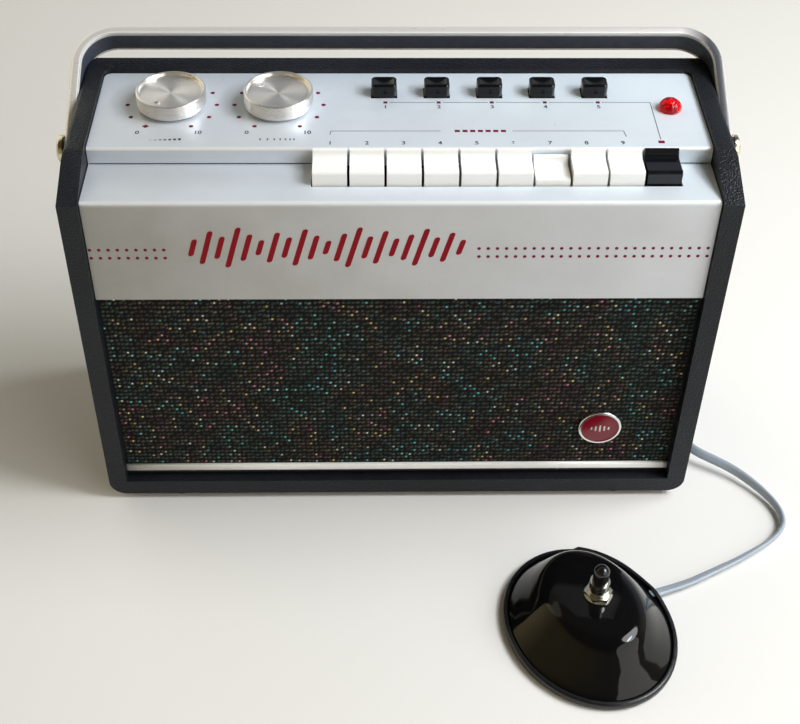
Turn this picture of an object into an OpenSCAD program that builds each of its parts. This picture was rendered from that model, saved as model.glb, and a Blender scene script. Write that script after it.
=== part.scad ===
// Portable rhythm box: a covered wooden cabinet with a two-step aluminium fascia,
// spun knobs, push pads, piano-style keys, a carrying bail and a corded foot switch.
// Millimetres. X runs across the cabinet, Y from its front to its back, Z up.
// Sizes are written in the cabinet's own frame (front face at y = 0, floor at z = 0);
// in_frame() then moves everything so that the origin is the middle of the base.

/* [Cabinet] */
// Width across the two side boards
cab_w = 360; // [330:1:420]
// Depth from the side boards' front edges to the back
cab_d = 127; // [120:1:160]
// Height of the top edge above the floor
cab_top = 239.5; // [225:0.5:290]
// Thickness of the covered boards
wall = 11; // [8:0.5:14]
// Depth of the sloped front corner of the side boards
slope_run = 34.3; // [20:0.1:40]
// Drop of the sloped front corner
slope_drop = 12.9; // [6:0.1:20]
// Radius of the long bottom corners
corner_r = 10; // [4:0.5:12]
// Radius of the long top corners of the side boards
top_edge_r = 2.5; // [1:0.5:4]
// Thickness of the top rail at the back
rail_d = 12.5; // [9:0.5:16]
// Height of the top rail at the back
rail_h = 34; // [20:1:50]
// Diameter of the rubber feet
foot_d = 13; // [10:1:20]
// Height of the rubber feet
foot_h = 4; // [3:0.5:8]

/* [Fascia] */
// Thickness of the aluminium sheet
sheet = 1.2; // [0.8:0.1:2]
// Depth of the control deck below the cabinet's top edge
deck_drop = 2.75; // [1.5:0.25:5]
// Height of the riser between the two decks
riser_h = 10; // [8:0.5:14]
// Distance of the riser from the front edge
riser_y = 38.2; // [36:0.1:44]
// Set-back of the vertical front panel
panel_back = 3; // [2:0.5:5]
// Height of the vertical front panel
panel_h = 66; // [50:1:80]

/* [Knobs] */
// Diameter of each knob
knob_d = 37.2; // [30:0.2:44]
// Height of each knob's rim above the deck
knob_top = 10.2; // [8:0.2:16]
// Depth of the dish in each knob's top
dish_depth = 2.6; // [1:0.2:4]
// Distance of the volume knob left of the middle
volume_x = -126.8; // [-135:0.1:-110]
// Distance between the two knobs
knob_pitch = 59.4; // [50:0.1:66]
// Distance of the knobs behind the front edge
knob_y = 81; // [70:0.5:90]
// Diameter of the control shafts
shaft_d = 6; // [5:0.5:7]

/* [Pads] */
// Width of a pad
pad_w = 14.2; // [10:0.2:18]
// Depth of a pad, front to back
pad_d = 10.4; // [8:0.2:14]
// Height of a pad above the deck
pad_top = 7.8; // [5:0.2:10]
// Distance between pads
pad_pitch = 29.7; // [22:0.1:30]
// Place of the first pad
pad_x = -8.7; // [-20:0.1:0]
// Travel of a pad
pad_travel = 2.5; // [1:0.1:3.5]

/* [Keys] */
// Distance between keys
key_pitch = 19.8; // [16:0.1:19.8]
// Gap between keys
key_gap = 1.4; // [1:0.1:3]
// Left end of the row of keys
keys_x = -47.4; // [-60:0.1:-40]
// Foot of the keys' front faces, behind the cabinet's front edge
key_front = 17.8; // [15:0.1:22]
// Height of the ridge at the back of the keys above the deck
key_ridge = 1.5; // [0.5:0.1:4]
// Depth of the keys' dished tops below the deck
key_dish = 2.5; // [0:0.1:3]
// Travel of a key
key_travel = 4; // [2:0.5:6]
// The key that is latched down, counted from the left
latched_key = 7; // [1:1:10]

/* [Handle] */
// Distance of the pivots behind the front edge
pivot_y = 63.5; // [55:0.5:75]
// Drop of the pivots below the cabinet's top edge
pivot_drop = 20; // [15:0.5:30]
// Distance from the pivots to the outside of the grip
bail_reach = 77.4; // [74:0.1:110]
// Width of the handle's channel
bail_w = 12; // [9:0.5:16]
// Depth of the handle's channel
bail_t = 5.2; // [3.5:0.1:7]
// Wall of the handle's channel
bail_wall = 1.4; // [1:0.1:2]
// Outside radius of the handle's corners
bail_r = 24; // [15:1:35]
// Gap between the handle and the cabinet's sides
bail_gap = 0.3; // [0.3:0.1:2]
// Lean of the handle from upright towards the back
bail_lean = 64.4; // [-80:0.1:66]

/* [Grille] */
// Set-back of the cloth from the cabinet's front edge
cloth_back = 6.6; // [4:0.1:12]
// Thickness of the baffle board
baffle_t = 10; // [6:1:14]
// Diameter of the loudspeaker's hole
speaker_hole = 92; // [70:1:110]
// Diameter of the badge
badge_d = 26.4; // [20:0.1:32]

/* [Foot switch] */
// Length of the foot switch's oval base
fs_len = 113.6; // [100:0.2:130]
// Width of the foot switch's oval base
fs_wid = 96.2; // [80:0.2:110]
// Height of its top face
fs_h = 30; // [25:1:40]
// Length of its flat top face
fs_top_len = 58; // [50:1:80]
// Width of its flat top face
fs_top_wid = 36; // [32:1:60]
// Place of its middle, across
fs_x = 109; // [80:0.5:130]
// Place of its middle, in front of the cabinet
fs_y = -102.8; // [-180:0.1:-90]
// Turn of its long axis
fs_turn = -67; // [-90:1:-45]
// Travel of its plunger
plunger_travel = 6; // [3:0.5:8]

/* [Cord] */
// Width of the flat cord
cord_w = 6; // [5:0.1:6]
// Thickness of the flat cord
cord_t = 3.4; // [3:0.1:3.5]

/* [Hidden] */

$fn = 64;
eps = 0.01;
slide_gap = 0.3;      // clearance round parts that move
fit_gap = 0.4;        // clearance round boards and sheets that drop in
shaft_fit = 0.05;     // radial running clearance of a shaft in its bush
key_count = 10;
pad_count = 5;

// Cabinet
floor_in = foot_h + wall;
in_w = cab_w - 2 * wall;
rail_y = cab_d - rail_d;
rail_low = cab_top - rail_h;
ridge_z = cab_top - slope_drop;
inner_corner_r = 4;
cleat = 9;
back_t = 6;
back_inset = 3;
back_y = cab_d - back_inset - back_t;
back_w = in_w - 2 * fit_gap;
back_low = floor_in + fit_gap;
back_high = rail_low - fit_gap;
screw_d = 3;

// Fascia
deck_z = cab_top - deck_drop;
step_z = deck_z - riser_h;
panel_low = step_z - panel_h;
fascia_w = in_w - 2 * fit_gap;
deck_back = rail_y - 0.1;
deck_flange = 9;

// Baffle and cloth
cloth_t = 1.2;
baffle_y = cloth_back + cloth_t;
baffle_back = baffle_y + baffle_t;
baffle_low = floor_in;
baffle_high = panel_low + 12;
cloth_low = floor_in + 2.6;
cloth_high = panel_low - 0.2;
cloth_w = in_w - 2;
trim_h = 6;
trim_t = 2.2;
badge_x = 122.7;
badge_z = 56;
badge_t = 2.6;
badge_rim_w = 1.6;
badge_face_t = 0.9;
badge_crown = 0.45;
speaker_x = -60;
speaker_z = (cloth_low + cloth_high) / 2;

// Knobs and their controls
tempo_x = volume_x + knob_pitch;
knob_gap = 1.6;
knob_floor = 1.2;
bush_d = 9;
bush_nut_h = 1.4;
control_d = 24;
control_h = 10;
shaft_top = deck_z + knob_top - dish_depth - 1.6;

// Pads
pad_y = 88.2 + pad_d / 2;
pad_low = deck_z - 7.5;
pad_switch_top = pad_low - pad_travel - 0.4;
pad_switch_h = 20;
pad_stem = 5;

// Keys
key_w = key_pitch - key_gap;
key_back = riser_y - 1;
key_low = step_z - 12;
key_stem = 6;
key_stem_low = key_low - 22;
bank_top = key_low - key_travel - 0.4;
bank_h = 30;
bank_y = (key_front + key_back) / 2;
keys_w = key_count * key_pitch - key_gap;
slot_margin = 0.7;

// Lamp
lamp_x = 151;
lamp_y = 77;
lamp_d = 12.9;
lamp_dome_d = 11;
lamp_h = 6.4;

// Handle
pivot_z = cab_top - pivot_drop;
bail_half = cab_w / 2 + bail_gap + bail_t;
bail_edge_r = 1.6;
boss_d = 15.4;
boss_h = 4.7;
boss_shank_d = 6;

// Back panel fittings
jack_z = 42;
line_x = 60;
foot_jack_x = 104;
inlet_x = -120;

// Foot switch
shell_t = 2.2;
edging_w = 5;
edging_h = 5;
edging_bump = 1.2;    // rise of the edging over the cord
cord_side = 94;       // where round the oval the cord enters, from its long axis
edging_end = 2.2;     // how far one end of the edging strip stands out at its joint
edging_joint = 154;   // where round the oval that joint is
edging_loose = 42;    // degrees of the strip that have come away beside it
fs_top_shift = [-1, 1];
fs_bush_x = fs_x + 2.3;
fs_bush_y = fs_y + 1.3;
fs_bush_d = 11.4;
fs_nut_af = 13.9;
plunger_d = 9;
fs_base_t = 2;

// Cord: the plug, the coil behind the cabinet and the routes on either side of it
plug_len = 34;
coil_x = 137;
coil_y = 225;
coil_r = 30;
coil_across = 2;
coil_layers = 4;
coil_w = coil_across * (cord_w + 0.1);
coil_h = coil_layers * (cord_t + 0.1);
coil_low = 0.1;
// A route's points are x, y, z and the turn of the cord's flat side from level.
// From the plug down to the surface behind the cabinet and into the coil's foot:
tail_route = [[104, 158, 42, 0], [104, 164, 42, 0], [104, 170, 41, 0], [104, 176, 37.5, 0],
    [104, 180.5, 32, 0], [104, 184, 25.5, 0], [104, 187.5, 19, 0], [104, 191.5, 13, 0],
    [104, 196.5, 8, 0], [104, 203, 4.4, 0], [104, 210.5, 2.4, 0], [104, 218, 1.9, 0]];
// From the coil's top, down and round the cabinet's right side, on to the foot switch:
run_route = [[153.5, 253.6, 12.4, 0], [163, 247.5, 11.6, 0], [172, 241, 9.9, 0],
    [180.5, 234, 7.7, 0], [188, 226, 5.4, 0], [194.5, 217, 3.5, 0], [199.5, 207, 2.3, 0],
    [203.5, 196, 1.9, 0], [206, 184, 1.8, 0], [207, 172, 1.8, 0], [206.5, 160, 1.8, 0],
    [205, 148, 1.8, 0], [202.5, 136, 1.8, 0], [199.5, 124, 1.8, 0], [196, 112, 1.8, 0],
    [192.5, 100, 1.9, 0], [189.5, 88, 2.4, -10], [187, 76, 3.4, -25], [185.5, 64, 4.9, -40],
    [185, 53, 6.6, -50], [185.7, 43.5, 8.2, -50], [188.7, 35, 9, -47], [195, 28, 8.8, -47],
    [203.5, 22.6, 8, -49], [211.6, 17.6, 6.9, -55], [219, 11.8, 5.8, -63],
    [226, 4.5, 4.8, -72], [231.8, -3, 4.1, -80], [236.5, -11, 3.5, -87],
    [239, -20, 3.2, -90], [238, -28.5, 3.1, -86], [233, -36, 3, -76], [225, -42.8, 2.8, -62],
    [215.5, -49, 2.7, -50], [205, -55.2, 2.5, -40], [194, -61, 2.4, -33],
    [184, -66.2, 2.4, -27], [174.5, -71, 2.3, -22], [165.5, -74.7, 2.3, -15],
    [158, -77.5, 2.4, -8], [152.5, -79.6, 2.6, 0], [147.5, -81.7, 3.5, 0], [143, -83.7, 4.8, 0],
    [138, -86.1, 6.2, 0], [131, -89.5, 7.4, 0], [124, -92.6, 7.6, 0]];
tunnel_points = 7;    // at its end, along which the foot switch is cut for it
cord_gap = 0.3;

// Base frame: the middle of the box round everything but the cord
ring_n = 96;
front_most = fs_y + min([for (i = [0:ring_n - 1])
    fs_len / 2 * cos(i * 360 / ring_n) * sin(fs_turn)
    + fs_wid / 2 * sin(i * 360 / ring_n) * cos(fs_turn)]);
bail_rear = pivot_y + bail_edge_r + (bail_reach - bail_edge_r) * sin(bail_lean)
    + (bail_w / 2 - bail_edge_r) * cos(bail_lean);
mid_y = (front_most + max(bail_rear, cab_d)) / 2;

module in_frame() {
    translate([0, -mid_y, 0]) children();
}

// ---- helpers ----

// Points of an arc, for outlines
function arc(cx, cy, r, a0, a1, n) =
    [for (i = [0:n]) [cx + r * cos(a0 + (a1 - a0) * i / n), cy + r * sin(a0 + (a1 - a0) * i / n)]];

// An outline drawn in Y and Z, extruded along X and centred on x
module across(x, w) {
    translate([x - w / 2, 0, 0]) rotate([90, 0, 90]) linear_extrude(w) children();
}

// A shape drawn in X and Z, extruded backwards from y by t
module upright(y, t) {
    translate([0, y + t, 0]) rotate([90, 0, 0]) linear_extrude(t) children();
}

module block(x0, x1, y0, y1, z0, z1) {
    translate([x0, y0, z0]) cube([x1 - x0, y1 - y0, z1 - z0]);
}

module rounded_square(w, h, r) {
    square([w - 2 * r, h], center = true);
    square([w, h - 2 * r], center = true);
    for (x = [-1, 1], y = [-1, 1]) translate([x * (w / 2 - r), y * (h / 2 - r)]) circle(r);
}

module rod(x, y, z0, z1, r) {
    translate([x, y, z0]) cylinder(r = r, h = z1 - z0);
}

// ---- cabinet ----

module side_outline() {
    polygon([[0, foot_h], [cab_d, foot_h], [cab_d, cab_top], [slope_run, cab_top], [0, ridge_z]]);
}

// The cabinet seen from the front, with its long edges rounded
module front_outline() {
    h = cab_top - foot_h;
    difference() {
        translate([-cab_w / 2, foot_h]) square([cab_w, h]);
        for (s = [-1, 1]) {
            corner_cut(s * cab_w / 2, foot_h, -s, 1, corner_r);
            corner_cut(s * cab_w / 2, cab_top, -s, -1, top_edge_r);
        }
    }
}

// The sliver outside a rounded corner at x, z whose inside lies towards sx, sz
module corner_cut(x, z, sx, sz, r) {
    difference() {
        translate([x + min(0, sx * r) - (sx > 0 ? 1 : 0), z + min(0, sz * r) - (sz > 0 ? 1 : 0)])
            square(r + 1);
        translate([x + sx * r, z + sz * r]) circle(r);
    }
}

module cabinet_shell() {
    color("#1b1e24") {
        difference() {
            intersection() {
                across(0, cab_w + 2) side_outline();
                upright(-1, cab_d + 2) front_outline();
            }
            // Inside, open to the front and the top; the rail stays at the back
            difference() {
                block(-in_w / 2, in_w / 2, -1, rail_y, floor_in, cab_top + 1);
                for (s = [-1, 1]) deck_corner(s);
            }
            // Opening for the back board
            block(-in_w / 2, in_w / 2, rail_y - 1, cab_d + 1, floor_in, rail_low);
            for (s = [-1, 1]) translate([s * (cab_w / 2 - 8), pivot_y, pivot_z])
                rotate([0, s * 90, 0]) cylinder(d = boss_shank_d, h = 9);
        }
        for (s = [-1, 1]) difference() {
            side_cleats(s);
            for (p = screw_places) translate([p[0], back_y - 8, p[1]]) rotate([-90, 0, 0])
                cylinder(d = screw_d + 0.1, h = 10);
        }
    }
}

// Fillet in the rear corners of the deck's recess
module deck_corner(s) {
    r = inner_corner_r;
    translate([s * in_w / 2, rail_y, rail_low]) difference() {
        translate([s > 0 ? -r : -1, -r, 0]) cube([r + 1, r + 1, rail_h + 2]);
        translate([-s * r, -r, -1]) cylinder(r = r, h = rail_h + 4);
    }
}

// Wooden strips inside the sides, which carry the fascia sheets and the back board
module side_cleats(s) {
    x0 = s > 0 ? in_w / 2 - cleat : -in_w / 2;
    block(x0, x0 + cleat, riser_y + 6, rail_y - 2, deck_z - sheet - cleat, deck_z - sheet);
    block(x0, x0 + cleat, baffle_back, riser_y + 6, step_z - sheet - cleat, step_z - sheet);
    block(x0, x0 + cleat, back_y - cleat, back_y, floor_in, rail_low);
}

module back_panel() {
    color("#2a2724") difference() {
        block(-back_w / 2, back_w / 2, back_y, back_y + back_t, back_low, back_high);
        for (x = [line_x, foot_jack_x]) panel_hole(x, jack_z, bush_d + 0.4);
        block(inlet_x - 14, inlet_x + 14, back_y - 1, cab_d, jack_z - 9, jack_z + 9);
        for (p = screw_places) panel_hole(p[0], p[1], 3.4);
        for (i = [0:6]) translate([speaker_x + (i - 3) * 9, back_y - 1, speaker_z]) vent_slot();
    }
}

// A round-ended ventilation slot
module vent_slot() {
    half = 18;
    width = 4.4;
    rotate([-90, 0, 0]) {
        for (s = [-1, 1]) translate([0, s * half, 0]) cylinder(d = width, h = back_t + 2);
        translate([-width / 2, -half, 0]) cube([width, 2 * half, back_t + 2]);
    }
}

module panel_hole(x, z, d) {
    translate([x, back_y - 1, z]) rotate([-90, 0, 0]) cylinder(d = d, h = back_t + 2);
}

screw_x = back_w / 2 - 4;
screw_places = [for (x = [-screw_x, screw_x], z = [back_low + 10, (back_low + back_high) / 2,
    back_high - 10]) [x, z]];

module back_screws() {
    color("silver") for (p = screw_places) translate([p[0], back_y + back_t, p[1]])
        rotate([-90, 0, 0]) {
            cylinder(d1 = 6.4, d2 = 4.4, h = 1.6);
            translate([0, 0, -back_t - 5]) cylinder(d = screw_d, h = back_t + 5);
        }
}

module feet() {
    color("#151515") for (x = [-1, 1], y = [9, cab_d - 11])
        translate([x * (cab_w / 2 - 43), y, 0]) cylinder(d1 = foot_d - 1.4, d2 = foot_d, h = foot_h);
}

// ---- grille ----

module baffle_board() {
    color("#17181a") difference() {
        block(-in_w / 2, in_w / 2, baffle_y, baffle_back, baffle_low, baffle_high);
        translate([speaker_x, baffle_y - 1, speaker_z]) rotate([-90, 0, 0])
            cylinder(d = speaker_hole, h = baffle_t + 2);
    }
}

module grille_cloth() {
    color("#20302f") block(-cloth_w / 2, cloth_w / 2, cloth_back, baffle_y, cloth_low, cloth_high);
}

module grille_trim() {
    color("#d8d4c4") across(0, in_w - 2 * fit_gap) {
        translate([cloth_back - trim_t / 2, cloth_low + trim_h / 2]) {
            square([trim_t, trim_h - trim_t], center = true);
            for (s = [-1, 1]) translate([0, s * (trim_h - trim_t) / 2]) circle(d = trim_t);
            translate([0, -trim_h / 2 + trim_t / 2]) square([trim_t / 2, trim_t / 2]);
            translate([0, trim_h / 2 - trim_t]) square([trim_t / 2, trim_t / 2]);
        }
    }
}

module badge_rim() {
    color("silver") translate([badge_x, cloth_back, badge_z]) rotate([90, 0, 0])
        rotate_extrude() difference() {
            union() {
                square([badge_d / 2, badge_t - 0.8]);
                square([badge_d / 2 - 0.8, badge_t]);
                translate([badge_d / 2 - 0.8, badge_t - 0.8]) circle(0.8);
            }
            translate([-1, badge_t - 1]) square([badge_d / 2 - badge_rim_w + 1, 2]);
            translate([-2, -1]) square([2, badge_t + 2]);
        }
}

// Disc whose front is crowned by badge_crown
module badge_face() {
    rad = badge_d / 2 - badge_rim_w - 0.05;
    steps = 6;
    color("#8c0c1e") translate([badge_x, cloth_back - badge_t + 1, badge_z]) rotate([90, 0, 0])
        rotate_extrude() polygon(concat([[0, 0], [rad, 0]], [for (k = [steps:-1:0])
            [rad * k / steps, badge_face_t - badge_crown * pow(k / steps, 2)]]));
}

// ---- fascia ----

// Bent sheet: lower deck, front face and the flange under it
module front_outline_sheet() {
    y0 = panel_back;
    y1 = riser_y + 6;
    r = 1.8;
    difference() {
        union() {
            translate([y0, step_z - sheet]) square([y1 - y0, sheet]);
            translate([y0, panel_low]) square([sheet, panel_h]);
            translate([y0, panel_low]) square([baffle_y - y0, sheet]);
            translate([y0, step_z - r - sheet]) square(r + sheet);
        }
        translate([y0 - 1, step_z - r]) difference() {
            square(r + 2);
            translate([r + 1, 0]) circle(r);
            translate([r + 1, -1]) square(r + 3);
        }
        translate([y0 + sheet, step_z - sheet - r - 1]) square([r + 1, 1]);
    }
}

module front_panel() {
    color("#b9bcc0") difference() {
        across(0, fascia_w) front_outline_sheet();
        block(keys_x - slot_margin, keys_x + keys_w + slot_margin, key_front - slot_margin,
            riser_y, step_z - sheet - 1, step_z + 1);
    }
}

// Bent sheet: deck, riser and rear flange
module control_deck() {
    color("#c4cad2") difference() {
        intersection() {
            across(0, fascia_w) deck_outline();
            deck_plan();
        }
        for (x = [volume_x, tempo_x]) rod(x, knob_y, deck_z - 5, deck_z + 5, bush_d / 2 + 0.1);
        for (i = [0:pad_count - 1]) block(pad_x + i * pad_pitch - pad_w / 2 - slide_gap,
            pad_x + i * pad_pitch + pad_w / 2 + slide_gap, pad_y - pad_d / 2 - slide_gap,
            pad_y + pad_d / 2 + slide_gap, deck_z - 5, deck_z + 5);
        rod(lamp_x, lamp_y, deck_z - 5, deck_z + 5, lamp_dome_d / 2 - 0.8);
    }
}

module deck_outline() {
    r = 1.8;
    difference() {
        union() {
            translate([riser_y, deck_z - sheet]) square([deck_back - riser_y, sheet]);
            translate([riser_y, step_z]) square([sheet, riser_h]);
            translate([deck_back - sheet, deck_z - deck_flange]) square([sheet, deck_flange]);
        }
        translate([riser_y - 1, deck_z - r]) difference() {
            square(r + 2);
            translate([r + 1, 0]) circle(r);
            translate([r + 1, -1]) square(r + 3);
        }
    }
}

// The deck seen from above, with its rear corners rounded
module deck_plan() {
    r = inner_corner_r + fit_gap;
    z0 = deck_z - deck_flange - 2;
    w = fascia_w + 2;
    difference() {
        translate([-w / 2, riser_y - 5, z0]) cube([w, deck_back - riser_y + 10, riser_h + 10]);
        for (s = [-1, 1]) translate([s * fascia_w / 2, deck_back, z0 - 1]) difference() {
            translate([s > 0 ? -r : -2, -r, 0]) cube([r + 2, r + 2, riser_h + 12]);
            translate([-s * r, -r, -1]) cylinder(r = r, h = riser_h + 14);
        }
    }
}

// ---- knobs and controls ----

// Spun cap with a conical dish, a hollow underside and a boss for the shaft; its pointer
// is a dimple in the dish at the angle "mark", measured from the back
module knob(x, mark) {
    rad = knob_d / 2;
    z0 = knob_gap;
    rim = 1.3;
    skin = 2;
    translate([x, knob_y, deck_z]) difference() {
        rotate_extrude($fn = 128) difference() {
            polygon(concat([[0, z0], [rad - 0.5, z0], [rad, z0 + 0.5]],
                arc(rad - 0.8, knob_top - 0.8, 0.8, 0, 90, 6),
                [[rad - rim, knob_top], [rad - rim - 0.5, knob_top - 1.2],
                [0, knob_top - dish_depth]]));
            polygon([[7, z0 - 1], [rad - skin, z0 - 1], [rad - skin, knob_top - 3.4],
                [7, knob_top - dish_depth - 1.6]]);
        }
        translate([0, 0, -1]) cylinder(r = shaft_d / 2 + 0.02, h = 1 + shaft_top - deck_z);
        rotate([0, 0, mark]) translate([0, rad - 4.8, knob_top - 0.9]) sphere(r = 1.6, $fn = 32);
    }
}

module volume_knob() {
    color("#cfd0cf") knob(volume_x, 150);
}

module tempo_knob() {
    color("#cfd0cf") knob(tempo_x, 60);
}

module control_shaft(x) {
    rod(x, knob_y, deck_z - sheet - control_h + 2, shaft_top, shaft_d / 2);
}

module volume_shaft() {
    color("#b8b9ba") control_shaft(volume_x);
}

module tempo_shaft() {
    color("#b8b9ba") control_shaft(tempo_x);
}

// Rotary control: sealed body under the deck, threaded bush through it and its nut
module rotary_control(x) {
    top = deck_z - sheet;
    difference() {
        union() {
            rod(x, knob_y, top - control_h, top, control_d / 2);
            rod(x, knob_y, top, deck_z + bush_nut_h, bush_d / 2);
            translate([x, knob_y, deck_z]) cylinder(d = 12.7, h = bush_nut_h - 0.2, $fn = 6);
            block(x - 9, x + 9, knob_y + 8, knob_y + 17, top - control_h + 1, top - control_h + 3);
        }
        rod(x, knob_y, top - control_h + 2 - slide_gap, deck_z + 4, shaft_d / 2 + shaft_fit);
    }
}

module volume_control() {
    color("#8d8f88") rotary_control(volume_x);
}

module tempo_control() {
    color("#8d8f88") rotary_control(tempo_x);
}

// ---- pads ----

function pad_at(i) = pad_x + (i - 1) * pad_pitch;

// Cap with a dished top on a square stem
module pad(i) {
    x = pad_at(i);
    ball = 34;
    z1 = deck_z + pad_top;
    color("#1a1b1d") {
        difference() {
            translate([x, pad_y, pad_low]) linear_extrude(z1 - pad_low)
                rounded_square(pad_w, pad_d, 1.2);
            translate([x, pad_y - 0.5, z1 + ball - 1.1]) sphere(r = ball, $fn = 96);
        }
        block(x - pad_stem / 2, x + pad_stem / 2, pad_y - pad_stem / 2, pad_y + pad_stem / 2,
            pad_low - 12, pad_low + eps);
    }
}

// Row of switches hung under the deck, with a well for each stem
module pad_switches() {
    x0 = pad_at(1) - 14;
    x1 = pad_at(pad_count) + 14;
    z0 = pad_switch_top - pad_switch_h;
    well = pad_stem / 2 + slide_gap;
    color("#5d4a32") difference() {
        union() {
            block(x0, x1, pad_y - 7, pad_y + 7, z0, pad_switch_top);
            for (x = [x0, x1 - 3]) block(x, x + 3, pad_y - 7, pad_y + 7, z0, deck_z - sheet);
        }
        for (i = [1:pad_count]) block(pad_at(i) - well, pad_at(i) + well, pad_y - well,
            pad_y + well, pad_low - 12 - pad_travel - 1, pad_switch_top + 1);
    }
}

// ---- keys ----

function key_at(i) = keys_x + (i - 1) * key_pitch + key_w / 2;
function key_drop(i) = i == latched_key ? key_travel : 0;

// Side view of a key: leaning front, rounded lip, long dish and a ridge at the back
module key_outline() {
    lip_r = 1.8;
    lip_z = deck_z - key_dish + 0.4;
    ridge_z = deck_z + key_ridge;
    ridge_r = 1.5;
    dish_r = 3.4;
    dish_y = key_back - 6.2;
    polygon(concat([[key_front, key_low], [key_back, key_low]],
        arc(key_back - ridge_r, ridge_z - ridge_r, ridge_r, 0, 90, 6),
        arc(key_back - ridge_r - 0.4, ridge_z - 0.8, 0.8, 90, 165, 4),
        arc(dish_y, deck_z - key_dish + dish_r, dish_r, -20, -90, 7),
        arc(key_front + 0.8 + lip_r, lip_z - lip_r, lip_r, 88, 178, 7)));
}

module key(i) {
    x = key_at(i);
    color(i == key_count ? "#17181b" : "#f3efe0") translate([0, 0, -key_drop(i)]) {
        across(x, key_w) key_outline();
        block(x - key_stem / 2, x + key_stem / 2, bank_y - key_stem / 2, bank_y + key_stem / 2,
            key_stem_low, key_low + eps);
    }
}

// Bank of latching slide switches under the keys, on two end brackets
module key_switch_bank() {
    x0 = keys_x - 5;
    x1 = keys_x + keys_w + 5;
    y0 = bank_y - 9;
    y1 = bank_y + 9;
    z0 = bank_top - bank_h;
    well = key_stem / 2 + slide_gap;
    color("#6f6a5c") difference() {
        union() {
            block(x0, x1, y0, y1, z0, bank_top);
            for (x = [x0, x1 - 2.5]) block(x, x + 2.5, y0, y1, z0, step_z - sheet);
        }
        for (i = [1:key_count]) block(key_at(i) - well, key_at(i) + well, bank_y - well,
            bank_y + well, key_stem_low - key_travel - 1, bank_top + 1);
    }
}

// ---- lamp ----

module lamp_lens() {
    dome_r = lamp_dome_d / 2;
    color("#e00010") translate([lamp_x, lamp_y, deck_z]) rotate_extrude()
        polygon(concat([[0, -3], [dome_r - 1, -3], [dome_r - 1, 0], [lamp_d / 2, 0],
            [lamp_d / 2, 0.9], [dome_r + 0.2, 1.7], [dome_r, 3.2]],
            [for (a = [15:15:90]) [dome_r * cos(a), 3.2 + (lamp_h - 3.2) * sin(a)]]));
}

module lamp_holder() {
    z1 = deck_z - 3;
    color("#8a8a86") {
        rod(lamp_x, lamp_y, z1 - 20, z1, 4.2);
        difference() {
            rod(lamp_x, lamp_y, deck_z - sheet - 3, deck_z - sheet, 8);
            rod(lamp_x, lamp_y, deck_z - sheet - 4, deck_z, lamp_dome_d / 2 - 0.9);
        }
        block(lamp_x - 8, lamp_x - 6, lamp_y - 3, lamp_y + 3, z1 - 6, deck_z - sheet - 2);
        block(lamp_x - 8, lamp_x - 4, lamp_y - 3, lamp_y + 3, z1 - 8, z1 - 6);
    }
}

// ---- handle ----

// Section of the channel: x is measured outwards from the grip's inner face, y across it
module channel_section() {
    r = bail_edge_r;
    difference() {
        union() {
            translate([0, -bail_w / 2]) square([bail_t - r, bail_w]);
            translate([0, -bail_w / 2 + r]) square([bail_t, bail_w - 2 * r]);
            for (s = [-1, 1]) translate([bail_t - r, s * (bail_w / 2 - r)]) circle(r);
        }
        liner_section();
    }
}

// What fills the channel, level with its edges
module liner_section() {
    translate([-eps, -bail_w / 2 + bail_wall]) square([bail_t - bail_wall + eps,
        bail_w - 2 * bail_wall]);
}

// The section swept along the bail, in a frame with the pivots at the origin and +Z to the grip
module bail_sweep() {
    inner_r = bail_r - bail_t;
    z1 = bail_reach - bail_r;
    x1 = bail_half - bail_r;
    for (s = [-1, 1]) {
        mirror([s < 0 ? 1 : 0, 0, 0]) {
            translate([bail_half - bail_t, 0, 0]) linear_extrude(z1) children();
            translate([x1, 0, z1]) rotate([90, 0, 0]) rotate_extrude(angle = 90)
                translate([inner_r, 0]) children();
        }
    }
    translate([-x1, 0, bail_reach - bail_t]) rotate([0, 90, 0])
        linear_extrude(2 * x1) mirror([1, 0, 0]) children();
}

module place_bail() {
    translate([0, pivot_y, pivot_z]) rotate([-bail_lean, 0, 0]) children();
}

// Round end of each leg, flat like the channel's back wall
module leg_end(s, inner, outer, r) {
    translate([s * inner, 0, 0]) rotate([0, s * 90, 0]) cylinder(r = r, h = outer - inner);
}

module handle() {
    color("#c9ccd0") place_bail() difference() {
        union() {
            bail_sweep() channel_section();
            for (s = [-1, 1]) difference() {
                leg_end(s, bail_half - bail_t, bail_half, bail_w / 2);
                leg_end(s, bail_half - bail_t - 1, bail_half - bail_wall, bail_w / 2 - bail_wall);
                translate([s * (bail_half - bail_t - 1) - (s < 0 ? bail_t : 0), -bail_w, 0])
                    cube([bail_t + 2, 2 * bail_w, bail_w]);
            }
        }
        for (s = [-1, 1]) leg_end(s, bail_half - bail_t - 1, bail_half + 1,
            boss_shank_d / 2 + shaft_fit);
    }
}

module handle_liner() {
    color("#2c3036") place_bail() difference() {
        union() {
            bail_sweep() liner_solid_section();
            for (s = [-1, 1]) difference() {
                leg_end(s, bail_half - bail_t, bail_half - bail_wall, bail_w / 2 - bail_wall);
                translate([s * (bail_half - bail_t - 1) - (s < 0 ? bail_t : 0), -bail_w, 0])
                    cube([bail_t + 2, 2 * bail_w, bail_w]);
            }
        }
        for (s = [-1, 1]) leg_end(s, bail_half - bail_t - 1, bail_half,
            boss_shank_d / 2 + shaft_fit);
    }
}

module liner_solid_section() {
    translate([0, -bail_w / 2 + bail_wall]) square([bail_t - bail_wall, bail_w - 2 * bail_wall]);
}

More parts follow.
